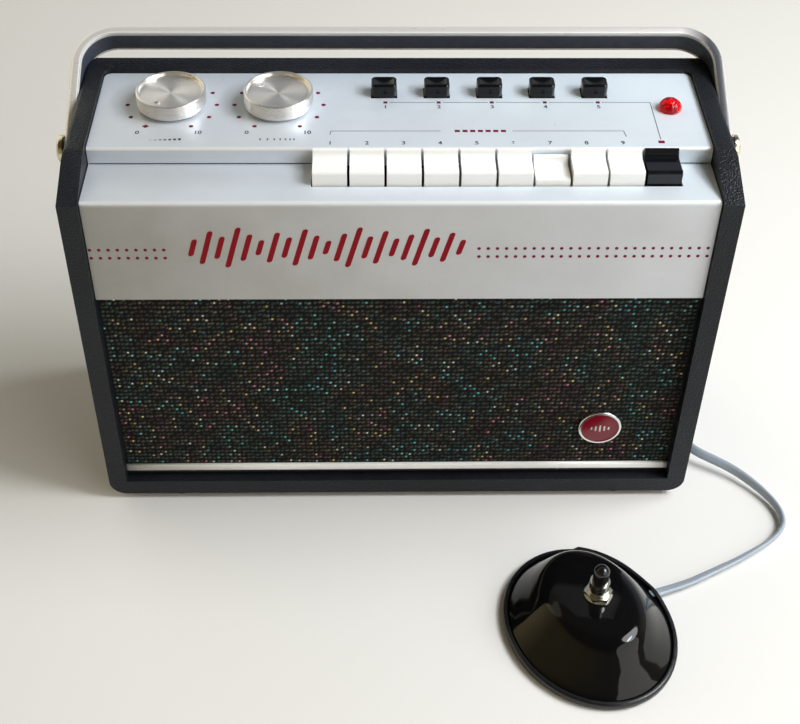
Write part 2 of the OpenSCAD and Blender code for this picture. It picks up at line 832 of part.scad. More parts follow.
// Domed shoulder screws on which the handle turns
module pivot_bosses() {
    rad = boss_d / 2;
    color("#b79f62") for (s = [-1, 1]) translate([s * (bail_half + slide_gap), pivot_y, pivot_z])
        rotate([0, s * 90, 0]) {
            rotate_extrude() polygon(concat([[0, 0], [rad - 0.6, 0], [rad, 0.6], [rad, 2.4]],
                [for (a = [10:10:90]) [rad * cos(a), 2.4 + (boss_h - 2.4) * sin(a)]]));
            translate([0, 0, -slide_gap - bail_t - bail_gap - 8])
                cylinder(d = boss_shank_d, h = slide_gap + bail_t + bail_gap + 8);
        }
}

// ---- loudspeaker ----

// Pressed basket: a flange, a conical wall with six windows and a seat for the magnet
module speaker_frame() {
    windows = 6;
    window_w = 15;
    color("#3b3f42") translate([speaker_x, baffle_back, speaker_z]) rotate([-90, 0, 0])
        difference() {
            rotate_extrude() polygon([[speaker_hole / 2 - 3, 0], [speaker_hole / 2 + 8, 0],
                [speaker_hole / 2 + 8, 1.5], [speaker_hole / 2 + 1, 1.5], [25, 26], [12, 26],
                [12, 24.5], [24, 24.5], [speaker_hole / 2 - 3, 4]]);
            for (i = [0:windows - 1]) rotate([0, 0, (i + 0.5) * 360 / windows])
                translate([20, -window_w / 2, 7]) cube([speaker_hole / 2, window_w, 14]);
        }
}

module speaker_cone() {
    color("#2b2723") translate([speaker_x, baffle_back, speaker_z]) rotate([-90, 0, 0])
        rotate_extrude() polygon([[0, 13], [9, 15.5], [11, 19.5], [speaker_hole / 2 - 8, 2],
            [speaker_hole / 2 - 3, 2], [speaker_hole / 2 - 3, 3], [speaker_hole / 2 - 7, 3.2],
            [12, 21], [9, 21], [8, 16.5], [0, 14.2]]);
}

module speaker_magnet() {
    color("#808488") translate([speaker_x, baffle_back + 26, speaker_z]) rotate([-90, 0, 0]) {
        cylinder(r = 30, h = 3);
        translate([0, 0, 3]) cylinder(r = 27, h = 9);
        translate([0, 0, 12]) cylinder(r = 30, h = 3);
        translate([0, 0, -5.4]) cylinder(r = 8, h = 5.5);
    }
}

// ---- electronics ----

board_x = 20;
board_w = 150;
board_d = 62;
board_y = 40;
board_z = floor_in + 9;

module circuit_board() {
    color("#7a5a2c") {
        block(board_x, board_x + board_w - 30, board_y, board_y + board_d, board_z, board_z + 1.6);
        for (x = [board_x + 5, board_x + board_w - 35], y = [board_y + 5, board_y + board_d - 5])
            rod(x, y, floor_in, board_z + eps, 3);
        for (i = [0:4]) rod(board_x + 16 + i * 21, board_y + 16, board_z, board_z + 13, 4);
        for (i = [0:3]) block(board_x + 12 + i * 26, board_x + 28 + i * 26, board_y + 34,
            board_y + 42, board_z, board_z + 6);
    }
}

module transformer() {
    x = -140;
    y = 66;
    color("#55504a") {
        block(x - 10, x + 38, y - 18, y + 22, floor_in, floor_in + 1.6);
        block(x - 4, x + 32, y - 12, y + 16, floor_in, floor_in + 34);
        block(x - 8, x + 36, y - 6, y + 10, floor_in + 7, floor_in + 27);
    }
}

// Recessed two-pin inlet, flush in the back board
module mains_inlet() {
    y1 = back_y + back_t;
    color("#1c1c1c") difference() {
        union() {
            block(inlet_x - 13.8, inlet_x + 13.8, back_y - 12, y1, jack_z - 8.8, jack_z + 8.8);
            block(inlet_x - 17, inlet_x + 17, y1, y1 + 1.5, jack_z - 11, jack_z + 11);
        }
        translate([inlet_x, y1 + 2, jack_z]) rotate([90, 0, 0]) linear_extrude(17)
            rounded_square(22, 11, 3);
    }
    color("silver") for (s = [-1, 1]) translate([inlet_x + s * 5, y1 - 16, jack_z])
        rotate([-90, 0, 0]) cylinder(d = 2.4, h = 9);
}

// Socket for a 6.35 mm plug, with a threaded bush and nut through the back board
module jack_socket(x) {
    y1 = back_y + back_t;
    translate([x, 0, jack_z]) rotate([-90, 0, 0]) difference() {
        union() {
            translate([0, 0, back_y - 24]) translate([-7, -8, 0]) cube([14, 16, 24]);
            translate([0, 0, back_y]) cylinder(d = bush_d, h = back_t + 2.5);
            translate([0, 0, y1]) cylinder(d = 13, h = 2, $fn = 6);
        }
        translate([0, 0, y1 - 22]) cylinder(r = 3.25, h = 30);
    }
}

module line_jack() {
    color("#9a9c9e") jack_socket(line_x);
}

module foot_jack() {
    color("#9a9c9e") jack_socket(foot_jack_x);
}

// ---- foot switch ----

// Points of an oval ring at height z, in the foot switch's own frame
function oval(a, b, z, n = ring_n) = [for (i = [0:n - 1])
    [a * cos(i * 360 / n), b * sin(i * 360 / n), z]];

// Closed solid through a list of rings, each with n points; first and last are capped,
// or joined to each other when loop is true
module loft(rings, n = ring_n, loop = false) {
    m = len(rings);
    pts = [for (r = rings) for (p = r) p];
    walls = [for (j = [0:(loop ? m - 1 : m - 2)]) let (k = (j + 1) % m) for (i = [0:n - 1])
        let (i2 = (i + 1) % n) each [[j * n + i, k * n + i2, j * n + i2],
            [j * n + i, k * n + i, k * n + i2]]];
    caps = loop ? [] : [[for (i = [0:n - 1]) i], [for (i = [n - 1:-1:0]) (m - 1) * n + i]];
    polyhedron(pts, concat(walls, caps), convexity = 8);
}

module place_foot() {
    translate([fs_x, fs_y, 0]) rotate([0, 0, fs_turn]) children();
}

// Side view of the shell's flank: distance in from the base edge, and height, as shares
// that run from the skirt, over a broad rounded shoulder, to the flat top
flank = [[0, 0.05], [0.045, 0.15], [0.13, 0.25], [0.25, 0.36], [0.42, 0.57], [0.58, 0.76],
    [0.66, 0.85], [0.73, 0.91], [0.81, 0.955], [0.9, 0.985], [1, 1]];
function flank_ring(s, z, skin) =
    [for (p = oval(fs_len / 2 - edging_w / 2 - skin + (fs_top_len / 2 - fs_len / 2 + edging_w / 2) * s,
        fs_wid / 2 - edging_w / 2 - skin + (fs_top_wid / 2 - fs_wid / 2 + edging_w / 2) * s, z))
        p + s * [fs_top_shift[0], fs_top_shift[1], 0]];

module foot_shell() {
    z0 = fs_base_t + 1;
    outer = [for (p = flank) flank_ring(p[0], max(z0 + 0.6, p[1] * fs_h), 0)];
    inner = [for (p = flank) flank_ring(p[0], max(z0 + 0.6, p[1] * fs_h - shell_t), shell_t)];
    color("#0c0c0e") difference() {
        place_foot() loft(concat([flank_ring(0, z0, 0)], outer));
        place_foot() loft(concat([flank_ring(0, z0 - 1, shell_t)], inner));
        translate([fs_bush_x, fs_bush_y, 0]) cylinder(d = fs_bush_d + 0.3, h = fs_h + 5);
        cord_tunnel();
    }
}

// Room along the cord's end, where it enters the foot switch
module cord_tunnel() {
    last = len(run_route) - 1;
    tube([for (i = [last - tunnel_points + 1:last]) run_route[i]], gap = cord_gap);
}

// An oval ring of the edging at height z, with "rise" of its bump over the cord and "loose"
// of the amount that it stands out beside the strip's joint
function edging_ring(inset, z, rise = 0, loose = 1) = [for (i = [0:ring_n - 1])
    let (t = i * 360 / ring_n, r = loose * edging_proud(t) - inset)
    [(fs_len / 2 + r) * cos(t), (fs_wid / 2 + r) * sin(t),
        z + rise * edging_bump * exp(-pow((t - cord_side) / 7, 2))]];
function edging_proud(t) = t > edging_joint || t < edging_joint - edging_loose ? 0 :
    edging_end * (t - edging_joint + edging_loose) / edging_loose;

// Rubber edging that grips the shell's rim and rests on the floor
module foot_edging() {
    a = fs_len / 2;
    b = fs_wid / 2;
    w = edging_w;
    h = edging_h;
    color("#101113") difference() {
        place_foot() loft([oval(a - w, b - w, 0), edging_ring(0.8, 0), edging_ring(0, 1.2),
            edging_ring(0, h - 1.4, 1), edging_ring(0.4, h - 0.4, 1), edging_ring(1.2, h, 1),
            edging_ring(w / 2, h, 1, 0), oval(a - w / 2, b - w / 2, fs_base_t + 0.9),
            oval(a - w, b - w, fs_base_t + 0.9)], loop = true);
        cord_tunnel();
    }
}

module foot_base() {
    color("#3c3c3a") difference() {
        place_foot() loft([oval(fs_len / 2 - edging_w, fs_wid / 2 - edging_w, 0.8),
            oval(fs_len / 2 - edging_w, fs_wid / 2 - edging_w, 0.8 + fs_base_t)]);
        cord_tunnel();
    }
}

module foot_bush() {
    z0 = fs_h;
    color("#b9b6a8") translate([fs_bush_x, fs_bush_y, 0]) difference() {
        union() {
            translate([0, 0, z0 - shell_t - 4]) cylinder(d = fs_bush_d, h = shell_t + 4 + 12);
            translate([0, 0, z0]) cylinder(d = 16, h = 0.8);
            translate([0, 0, z0 + 0.8]) cylinder(d = fs_nut_af / cos(30), h = 2.6, $fn = 6);
            translate([0, 0, z0 + 3.4]) cylinder(d = fs_nut_af - 1, h = 1.4);
        }
        translate([0, 0, z0 - shell_t - 5]) cylinder(d = plunger_d + 0.1, h = 30);
    }
}

module foot_plunger() {
    rad = plunger_d / 2;
    top = fs_h + 12 + 12;
    color("#0e0e10") translate([fs_bush_x, fs_bush_y, 0]) rotate_extrude() polygon(concat(
        [[0, fs_h - shell_t - 3], [rad, fs_h - shell_t - 3]],
        [for (a = [0:10:90]) [rad * cos(a), top - 4 + 4 * sin(a)]]));
}

module foot_switch_body() {
    z1 = fs_h - shell_t;
    color("#7d7d78") translate([fs_bush_x, fs_bush_y, 0]) difference() {
        translate([-10, -10, 0.8 + fs_base_t]) cube([20, 20, z1 - 0.8 - fs_base_t - 0.05]);
        translate([0, 0, z1 - 5 - plunger_travel]) cylinder(d = fs_bush_d + 0.1, h = 30);
    }
}

// ---- cord ----

function place(p) = [p[0], p[1], p[2]];
function unit(v) = v / norm(v);
function tangent(r, i) = unit(place(r[min(len(r) - 1, i + 1)]) - place(r[max(0, i - 1)]));

// Oval ring round a route's point, its long axis level at turn 0
function tube_ring(r, i, n, gap) =
    let (t = tangent(r, i), side = unit([-t[1], t[0], 0]), up = cross(t, side), w = r[i][3])
    [for (k = [0:n - 1]) let (a = (cord_w / 2 + gap) * cos(k * 360 / n),
            b = (cord_t / 2 + gap) * sin(k * 360 / n))
        place(r[i]) + (a * cos(w) - b * sin(w)) * side + (a * sin(w) + b * cos(w)) * up];

module tube(route, n = 10, gap = 0) {
    loft([for (i = [0:len(route) - 1]) tube_ring(route, i, n, gap)], n);
}

module cord_plug() {
    y1 = back_y + back_t;
    color("#17181a") translate([foot_jack_x, 0, jack_z]) rotate([-90, 0, 0]) {
        translate([0, 0, y1 - 20]) cylinder(d = 6.35, h = 24);
        translate([0, 0, y1 + 3]) rotate_extrude() polygon([[0, 0], [6.2, 0], [6.2, 18],
            [4.4, 22], [3.4, plug_len - 3], [0, plug_len - 3]]);
    }
}

module cord_tail() {
    color("#8d99a8") tube(tail_route);
}

module cord_run() {
    color("#8d99a8") tube(run_route);
}

module cord_coil() {
    color("#8d99a8") translate([coil_x, coil_y, coil_low]) rotate_extrude()
        translate([coil_r - coil_w / 2, 0]) square([coil_w, coil_h]);
}

in_frame() cabinet_shell();
in_frame() back_panel();
in_frame() back_screws();
in_frame() feet();
in_frame() baffle_board();
in_frame() grille_cloth();
in_frame() grille_trim();
in_frame() badge_rim();
in_frame() badge_face();
in_frame() front_panel();
in_frame() control_deck();
in_frame() volume_knob();
in_frame() tempo_knob();
in_frame() volume_shaft();
in_frame() tempo_shaft();
in_frame() volume_control();
in_frame() tempo_control();
for (i = [1:pad_count]) in_frame() pad(i);
in_frame() pad_switches();
for (i = [1:key_count]) in_frame() key(i);
in_frame() key_switch_bank();
in_frame() lamp_lens();
in_frame() lamp_holder();
in_frame() handle();
in_frame() handle_liner();
in_frame() pivot_bosses();
in_frame() speaker_frame();
in_frame() speaker_cone();
in_frame() speaker_magnet();
in_frame() circuit_board();
in_frame() transformer();
in_frame() mains_inlet();
in_frame() line_jack();
in_frame() foot_jack();
in_frame() foot_shell();
in_frame() foot_edging();
in_frame() foot_base();
in_frame() foot_bush();
in_frame() foot_plunger();
in_frame() foot_switch_body();
in_frame() cord_plug();
in_frame() cord_tail();
in_frame() cord_coil();
in_frame() cord_run();
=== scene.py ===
"""Looks of a portable rhythm box with a foot switch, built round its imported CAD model.

Places are written in the cabinet's own millimetres (x across, y back from the front edge,
z up from the floor) and turned into the shared frame's metres by at().
"""

from math import cos, exp, hypot, pi, radians, sin, tau

import bmesh
import bpy
from mathutils import Matrix, Vector


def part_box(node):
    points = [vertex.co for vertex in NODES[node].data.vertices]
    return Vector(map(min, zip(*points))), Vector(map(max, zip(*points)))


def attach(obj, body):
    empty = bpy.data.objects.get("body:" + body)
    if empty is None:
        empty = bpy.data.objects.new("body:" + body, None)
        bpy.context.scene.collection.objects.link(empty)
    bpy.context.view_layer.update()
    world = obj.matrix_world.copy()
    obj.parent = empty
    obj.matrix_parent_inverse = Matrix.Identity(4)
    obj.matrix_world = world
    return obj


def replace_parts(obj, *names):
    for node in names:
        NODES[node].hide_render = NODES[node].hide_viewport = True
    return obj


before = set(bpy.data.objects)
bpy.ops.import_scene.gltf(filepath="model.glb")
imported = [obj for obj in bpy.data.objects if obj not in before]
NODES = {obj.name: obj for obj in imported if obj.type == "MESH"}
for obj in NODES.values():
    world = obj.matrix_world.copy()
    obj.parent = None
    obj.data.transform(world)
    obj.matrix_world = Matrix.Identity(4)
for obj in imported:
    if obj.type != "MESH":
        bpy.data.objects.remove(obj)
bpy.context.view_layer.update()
scene = bpy.context.scene
MM = 0.001
CABINET_LOW, CABINET_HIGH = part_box("cabinet_shell")
FRONT = CABINET_LOW.y


def at(x, y, z):
    """A point in the cabinet's millimetres, in the shared frame's metres."""
    return Vector((x * MM, FRONT + y * MM, z * MM))


def in_cabinet(point):
    """The other way round: a point of the shared frame, in the cabinet's millimetres."""
    return point.x / MM, (point.y - FRONT) / MM, point.z / MM


def node_box(name):
    """A node's lowest and highest corners and its middle, in the cabinet's millimetres."""
    low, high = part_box(name)
    return in_cabinet(low), in_cabinet(high), in_cabinet((low + high) / 2)


def placed(name, data):
    """A new object in the scene."""
    thing = bpy.data.objects.new(name, data)
    scene.collection.objects.link(thing)
    return thing


DECK_Z = node_box("control_deck")[1][2]
(_, PANEL_Y, _), (_, _, STEP_Z), _ = node_box("front_panel")

# ---- camera ----

CAMERA_PLACE = (-16.34, -583.14, 657.08)
CAMERA_YAW, CAMERA_PITCH, CAMERA_ROLL = 1.61, 42.86, -0.87  # degrees, to +X and down
FOCAL_PIXELS = 1381.8  # in a picture 800 pixels wide
PICTURE_WIDTH = 800


def add_camera():
    data = bpy.data.cameras.new("camera")
    data.sensor_fit = "HORIZONTAL"
    data.sensor_width = 36
    data.lens = data.sensor_width * FOCAL_PIXELS / PICTURE_WIDTH
    camera = placed("camera", data)
    yaw, pitch, roll = map(radians, (CAMERA_YAW, CAMERA_PITCH, CAMERA_ROLL))
    forward = Vector((sin(yaw) * cos(pitch), cos(yaw) * cos(pitch), -sin(pitch)))
    level = Vector((cos(yaw), -sin(yaw), 0))
    down = forward.cross(level)
    right = cos(roll) * level + sin(roll) * down
    up = sin(roll) * level - cos(roll) * down
    turn = Matrix((right, up, -forward)).transposed()
    camera.matrix_world = Matrix.Translation(at(*CAMERA_PLACE)) @ turn.to_4x4()
    scene.camera = camera


# ---- shader helpers ----

class Nodes:
    """Shader nodes under construction in a tree."""

    def __init__(self, tree, coordinates):
        self.tree = tree
        self.place = self.add("TexCoord").outputs[coordinates]

    def add(self, kind, **inputs):
        node = self.tree.nodes.new("ShaderNode" + kind)
        for name, value in inputs.items():
            self.set(node, name.replace("_", " "), value)
        return node

    def set(self, node, name, value):
        """Links or sets a node's socket, by its name or by "i" and its number."""
        socket = node.inputs[int(name[1:]) if name[:1] == "i" and name[1:].isdigit() else name]
        if isinstance(value, bpy.types.NodeSocket):
            self.tree.links.new(value, socket)
        else:
            socket.default_value = value

    def scaled(self, x, y, z):
        """Object coordinates stretched by these factors, per metre."""
        return self.add("Mapping", Vector=self.place, Scale=(x, y, z)).outputs[0]

    def split(self, vector):
        """The X, Y and Z of a vector."""
        return self.add("SeparateXYZ", Vector=vector).outputs

    def facing(self):
        """X, Y and Z of the direction that the surface faces."""
        return self.split(self.add("NewGeometry").outputs["True Normal"])

    def noise(self, scale, detail=3, rough=0.5, vector=None):
        node = self.add("TexNoise", Vector=vector or self.place, Scale=scale,
                        Detail=detail, Roughness=rough)
        return node.outputs["Fac"]

    def cells(self, scale, feature="F1", vector=None, output="Distance"):
        node = self.add("TexVoronoi", Vector=vector or self.place, Scale=scale)
        node.feature = feature
        return node.outputs[output]

    def math(self, kind, a, b=0, c=0):
        node = self.add("Math", i0=a, i1=b, i2=c)
        node.operation = kind
        return node.outputs[0]

    def plus(self, a, b):
        return self.math("ADD", a, b)

    def times(self, a, b):
        return self.math("MULTIPLY", a, b)

    def ramp(self, value, *stops):
        """A value through stops of (place, colour or grey)."""
        node = self.add("ValToRGB", Fac=value)
        band = node.color_ramp
        while len(band.elements) < len(stops):
            band.elements.new(0.5)
        for element, (place, tint) in zip(band.elements, stops):
            element.position = place
            element.color = (*tint, 1) if isinstance(tint, tuple) else (tint, tint, tint, 1)
        return node.outputs["Color"]

    def range(self, value, low, high, to_low=0, to_high=1):
        node = self.add("MapRange", i0=value, i1=low, i2=high, i3=to_low, i4=to_high)
        return node.outputs[0]

    def uneven(self, scale, detail, low, high):
        """A value that wanders between two others."""
        return self.range(self.noise(scale, detail), 0.3, 0.7, low, high)

    def mix(self, share, a, b, blend="MIX"):
        node = self.add("Mix", i0=share)
        node.data_type = "RGBA"
        node.blend_type = blend
        for index, tint in ((6, a), (7, b)):
            self.set(node, f"i{index}", (*tint, 1) if isinstance(tint, tuple) else tint)
        return node.outputs[2]

    def filtered(self, a, b):
        """One colour seen through another."""
        return self.mix(1, a, b, "MULTIPLY")

    def bump(self, height, distance, strength=1, under=None):
        node = self.add("Bump", Height=height, Distance=distance, Strength=strength)
        if under is not None:
            self.set(node, "Normal", under)
        return node.outputs["Normal"]


class Shader(Nodes):
    """A material with a Principled surface and object coordinates."""

    def __init__(self, name, colour, roughness, metallic=0, **sockets):
        self.material = bpy.data.materials.new(name)
        self.material.use_nodes = True
        super().__init__(self.material.node_tree, "Object")
        self.surface = self.tree.nodes["Principled BSDF"]
        self.put("Base Color", (*colour, 1))
        self.put("Roughness", roughness)
        self.put("Metallic", metallic)
        for socket, value in sockets.items():
            self.put(socket.replace("_", " "), value)

    def put(self, socket, value):
        self.set(self.surface, socket, value)


# ---- materials ----

def shaded(colour, share):
    """A colour made darker or lighter, at most white."""
    return tuple(min(1, c * share) for c in colour)


def covering():
    """Black leather-grained vinyl over board, a little blue, faded in patches."""
    s = Shader("covering", (0.003, 0.004, 0.007), 0.36, Specular_IOR_Level=0.24)
    pebbles = s.cells(1100, "SMOOTH_F1")
    creases = s.cells(420, "DISTANCE_TO_EDGE", vector=s.scaled(1, 1, 0.8))
    fine = s.noise(2600, 2)
    blotch = s.noise(22, 4)
    colour = s.mix(blotch, (0.0015, 0.0022, 0.004), (0.004, 0.0055, 0.009))
    faded = s.range(s.noise(9, 3), 0.35, 0.65, 0.1, 0.28)
    s.put("Base Color", s.mix(faded, colour, (0.045, 0.05, 0.06)))
    s.put("Roughness", s.uneven(90, 3, 0.3, 0.44))
    leather = s.bump(s.range(creases, 0, 0.18), 0.00018, 0.5)
    leather = s.bump(pebbles, 0.0004, 0.6, leather)
    s.put("Normal", s.bump(fine, 0.0001, 0.3, leather))
    return s.material


def painted_board(name, colour):
    """Painted or stained board, or paper: upright fibres and a rough skin."""
    s = Shader(name, colour, 0.75)
    fibres = s.noise(60, 6, vector=s.scaled(2, 2, 14))
    s.put("Base Color", s.mix(fibres, shaded(colour, 0.7), shaded(colour, 1.5)))
    s.put("Normal", s.bump(s.noise(900, 4), 0.0002, 0.5))
    return s.material


# Painted shade on the low upright face and painted light elsewhere, from the sheet's left end to
# its right
FACE_SHADE_TINTS = ((0, (0.46, 0.425, 0.36)), (0.5, (0.74, 0.715, 0.68)), (1, (0.88, 0.87, 0.86)))
SHEET_LIGHT_TINTS = ((0, (0.9, 0.9, 0.9)), (0.5, (1.1, 1.13, 1.15)), (1, (1.19, 1.24, 1.24)))
FACE_SHADE_TOP = STEP_Z - 1  # height at which the painted shade on the upright face has faded out
FACE_SHADE_FADE = 2  # over this much below it
BACK_SHEEN_FROM, BACK_SHEEN_TO = 60, 115  # mm behind the front, where a painted sheen turns the deck paler
BACK_SHEEN_TINT = (1.08, 1.12, 1.16)
STAIN_SWAY = 0.03  # metres that the stains push the tints sideways


def sheet_tint(s, stain, facing):
    """Painted light and shade: a dark, warm painted shade on the low upright face, brighter metal
    elsewhere, darker towards the left and paler towards the back.
    """
    place = s.split(s.place)
    # Where the painted shade lies: low on the upright face
    upright = s.range(s.math("ABSOLUTE", facing["Y"]), 0.9, 0.99)
    low = s.range(place["Z"], (FACE_SHADE_TOP - FACE_SHADE_FADE) * MM, FACE_SHADE_TOP * MM, 1, 0)
    across = s.plus(place["X"], s.range(stain, 0.3, 0.7, -STAIN_SWAY, STAIN_SWAY))
    across = s.range(across, CABINET_LOW.x, CABINET_HIGH.x)
    # Painted light, brighter towards the right
    lit_tint = s.ramp(across, *SHEET_LIGHT_TINTS)
    # A painted sheen, paler towards the back
    back = s.range(place["Y"], FRONT + BACK_SHEEN_FROM * MM, FRONT + BACK_SHEEN_TO * MM)
    lit_tint = s.mix(back, lit_tint, s.filtered(lit_tint, BACK_SHEEN_TINT))
    # The painted shade on the low upright face, darker towards the left
    return s.mix(s.times(upright, low), lit_tint, s.ramp(across, *FACE_SHADE_TINTS))


def satin_sheet(name, colour):
    """Satin anodised aluminium: faint sideways grain, stains, short scuffs, a painted highlight
    along the folds, and painted light and shade across the sheet.
    """
    s = Shader(name, colour, 0.45, 0.35, Anisotropic=0.3)
    grain = s.noise(1, 3, 0.6, vector=s.scaled(45, 2600, 2600))
    stain = s.noise(16, 5, 0.55)
    scuffs = s.ramp(s.noise(1, 2, vector=s.scaled(260, 90, 90)), (0.74, 0), (0.77, 1))
    tone = s.mix(s.range(stain, 0.3, 0.75), shaded(colour, 0.93), colour)
    tone = s.mix(s.range(grain, 0.2, 0.8, 0, 0.12), tone, shaded(colour, 0.8))
    tone = s.mix(s.times(scuffs, 0.22), tone, (0.32, 0.31, 0.3))
    facing = s.facing()
    # Painted light and shade across the sheet
    tone = s.filtered(tone, sheet_tint(s, stain, facing))
    # Painted highlight along the folds, which face neither straight up nor straight ahead
    lean = s.math("ABSOLUTE", s.times(facing["Y"], facing["Z"]))
    fold_highlight = s.range(lean, 0.12, 0.4)
    s.put("Base Color", s.mix(fold_highlight, tone, (0.93, 0.93, 0.93)))
    s.put("Roughness", s.range(grain, 0.3, 0.7, 0.4, 0.5))
    s.put("Normal", s.bump(grain, 0.00003, 0.3))
    return s.material


def spun_aluminium():
    """Turned aluminium: fine rings that draw the light out into a bow tie."""
    s = Shader("spun_aluminium", (0.88, 0.86, 0.83), 0.3, 0.85, Anisotropic=0.88,
               Anisotropic_Rotation=0.25)
    tangent = s.add("Tangent")
    tangent.direction_type = "RADIAL"
    tangent.axis = "Z"
    s.put("Tangent", tangent.outputs["Tangent"])
    smudge = s.noise(90, 4)
    s.put("Roughness", s.range(smudge, 0.3, 0.7, 0.26, 0.36))
    rings = s.noise(1, 2, 0.6, vector=s.scaled(0, 0, 1500))
    tone = s.mix(smudge, (0.84, 0.81, 0.77), (0.93, 0.91, 0.88))
    s.put("Base Color", s.mix(s.range(rings, 0.35, 0.6, 0.3, 0), tone, (0.45, 0.44, 0.42)))
    return s.material


DARK_REFLECTION_FROM, DARK_REFLECTION_TO = 0.163, 0.178  # metres across, where a painted dark reflection lies on the bail's right leg


def bright_metal(name, colour, roughness, scratch=0.25, metallic=1, painted_dark_leg=False):
    """Polished metal with fine marks; the last argument paints a dark reflection on the front of
    the bail's right leg.
    """
    s = Shader(name, colour, roughness, metallic)
    fine = s.noise(1, 3, 0.6, vector=s.scaled(90, 1500, 1500))
    s.put("Roughness", s.range(fine, 0.3, 0.75, roughness * 0.85, roughness * 1.2))
    tone = s.mix(s.range(fine, 0.5, 0.8, 0, scratch), colour, shaded(colour, 0.72))
    if painted_dark_leg:
        # Painted dark reflection on the front of the bail's right leg
        right = s.range(s.split(s.place)["X"], DARK_REFLECTION_FROM, DARK_REFLECTION_TO)
        ahead = s.range(s.math("ABSOLUTE", s.facing()["X"]), 0.3, 0.7, 1, 0)
        tone = s.mix(s.times(right, ahead), tone, (0.09, 0.092, 0.1))
    s.put("Base Color", tone)
    return s.material


def moulded(name, colour, roughness, grain=0.2, **sockets):
    """Moulded plastic: even colour with slight mottling, handling haze and a fine skin."""
    s = Shader(name, colour, roughness, **sockets)
    mottle = s.noise(70, 4)
    s.put("Base Color", s.mix(mottle, shaded(colour, 0.88), shaded(colour, 1.06)))
    s.put("Roughness", s.uneven(160, 3, roughness * 0.8, roughness * 1.25))
    s.put("Normal", s.bump(s.noise(1500, 2), 0.00004, grain))
    return s.material


def ivory():
    """Ivory key plastic, a little yellower down its sides: partly ageing, partly painted shade
    near the deck.
    """
    s = Shader("ivory", (0.95, 0.945, 0.925), 0.3, Coat_Weight=0.15, Coat_Roughness=0.15)
    # Painted shade and some ageing: a yellow-brown tint low on the keys, near the deck
    low = s.range(s.split(s.place)["Z"], (STEP_Z - 6) * MM, (DECK_Z - 3) * MM, 0.22, 0)
    aged_and_shaded = s.times(low, s.uneven(14, 1, 0.7, 1))
    s.put("Base Color", s.mix(aged_and_shaded, (0.97, 0.968, 0.955), (0.9, 0.85, 0.72)))
    s.put("Roughness", s.uneven(900, 2, 0.27, 0.33))
    s.put("Normal", s.bump(s.noise(700, 2), 0.00002, 0.1))
    return s.material


def lamp_red():
    """Clear red moulding with dark and bright facets inside, and a faint glow."""
    s = Shader("lamp_red", (0.6, 0, 0.006), 0.04, Transmission_Weight=0.1, IOR=1.38,
               Emission_Strength=0.16)
    facets = s.range(s.cells(330, output="Color"), 0.25, 0.75)
    s.put("Emission Color", s.mix(facets, (0.45, 0, 0.004), (1, 0, 0.01)))
    s.put("Base Color", s.mix(facets, (0.25, 0, 0.002), (0.75, 0.004, 0.012)))
    s.put("Normal", s.bump(s.cells(330, "DISTANCE_TO_EDGE"), 0.0012, 0.5))
    return s.material


def enamel():
    """Deep black glossy enamel with dust specks and faint rubbing."""
    s = Shader("enamel", (0.003, 0.003, 0.0034), 0.1, IOR=1.36)
    dust = s.ramp(s.cells(150), (0, 1), (0.04, 0))
    few = s.ramp(s.cells(150, output="Color"), (0.8, 0), (0.84, 1))
    speck = s.times(dust, few)
    s.put("Base Color", s.mix(s.times(speck, 0.6), (0.003, 0.003, 0.0034), (0.35, 0.35, 0.32)))
    s.put("Roughness", s.range(s.noise(60, 4), 0.35, 0.75, 0.05, 0.1))
    return s.material


def print_ink(name, colour):
    """Matt printing ink, a little uneven."""
    s = Shader(name, colour, 0.6, Specular_IOR_Level=0.15)
    s.put("Base Color", s.mix(s.noise(1200, 2), shaded(colour, 0.8), shaded(colour, 1.25)))
    return s.material


SPECK_ACROSS = 5.3  # mm between the cloth's bright specks in a row
SPECK_UP = 3.07  # mm between rows
SPECK_SLANT = 0.4  # rows climbed by a dash over one cell
FLECK_W = 0.13  # half width of a fleck, as a share of its cell
FLECK_H = 0.26  # half height
FLECK_TINTS = ((0.36, (0.05, 0.55, 0.6)), (0.44, (0.15, 0.7, 0.66)), (0.475, (0.7, 0.78, 0.76)),
               (0.505, (0.85, 0.78, 0.62)), (0.54, (0.85, 0.62, 0.1)), (0.58, (0.7, 0.42, 0.18)),
               (0.62, (0.9, 0.2, 0.36)))
THREAD_W, OTHER_W, THREAD_H = 0.3, 0.24, 0.38  # half sizes of the two dashes of thread


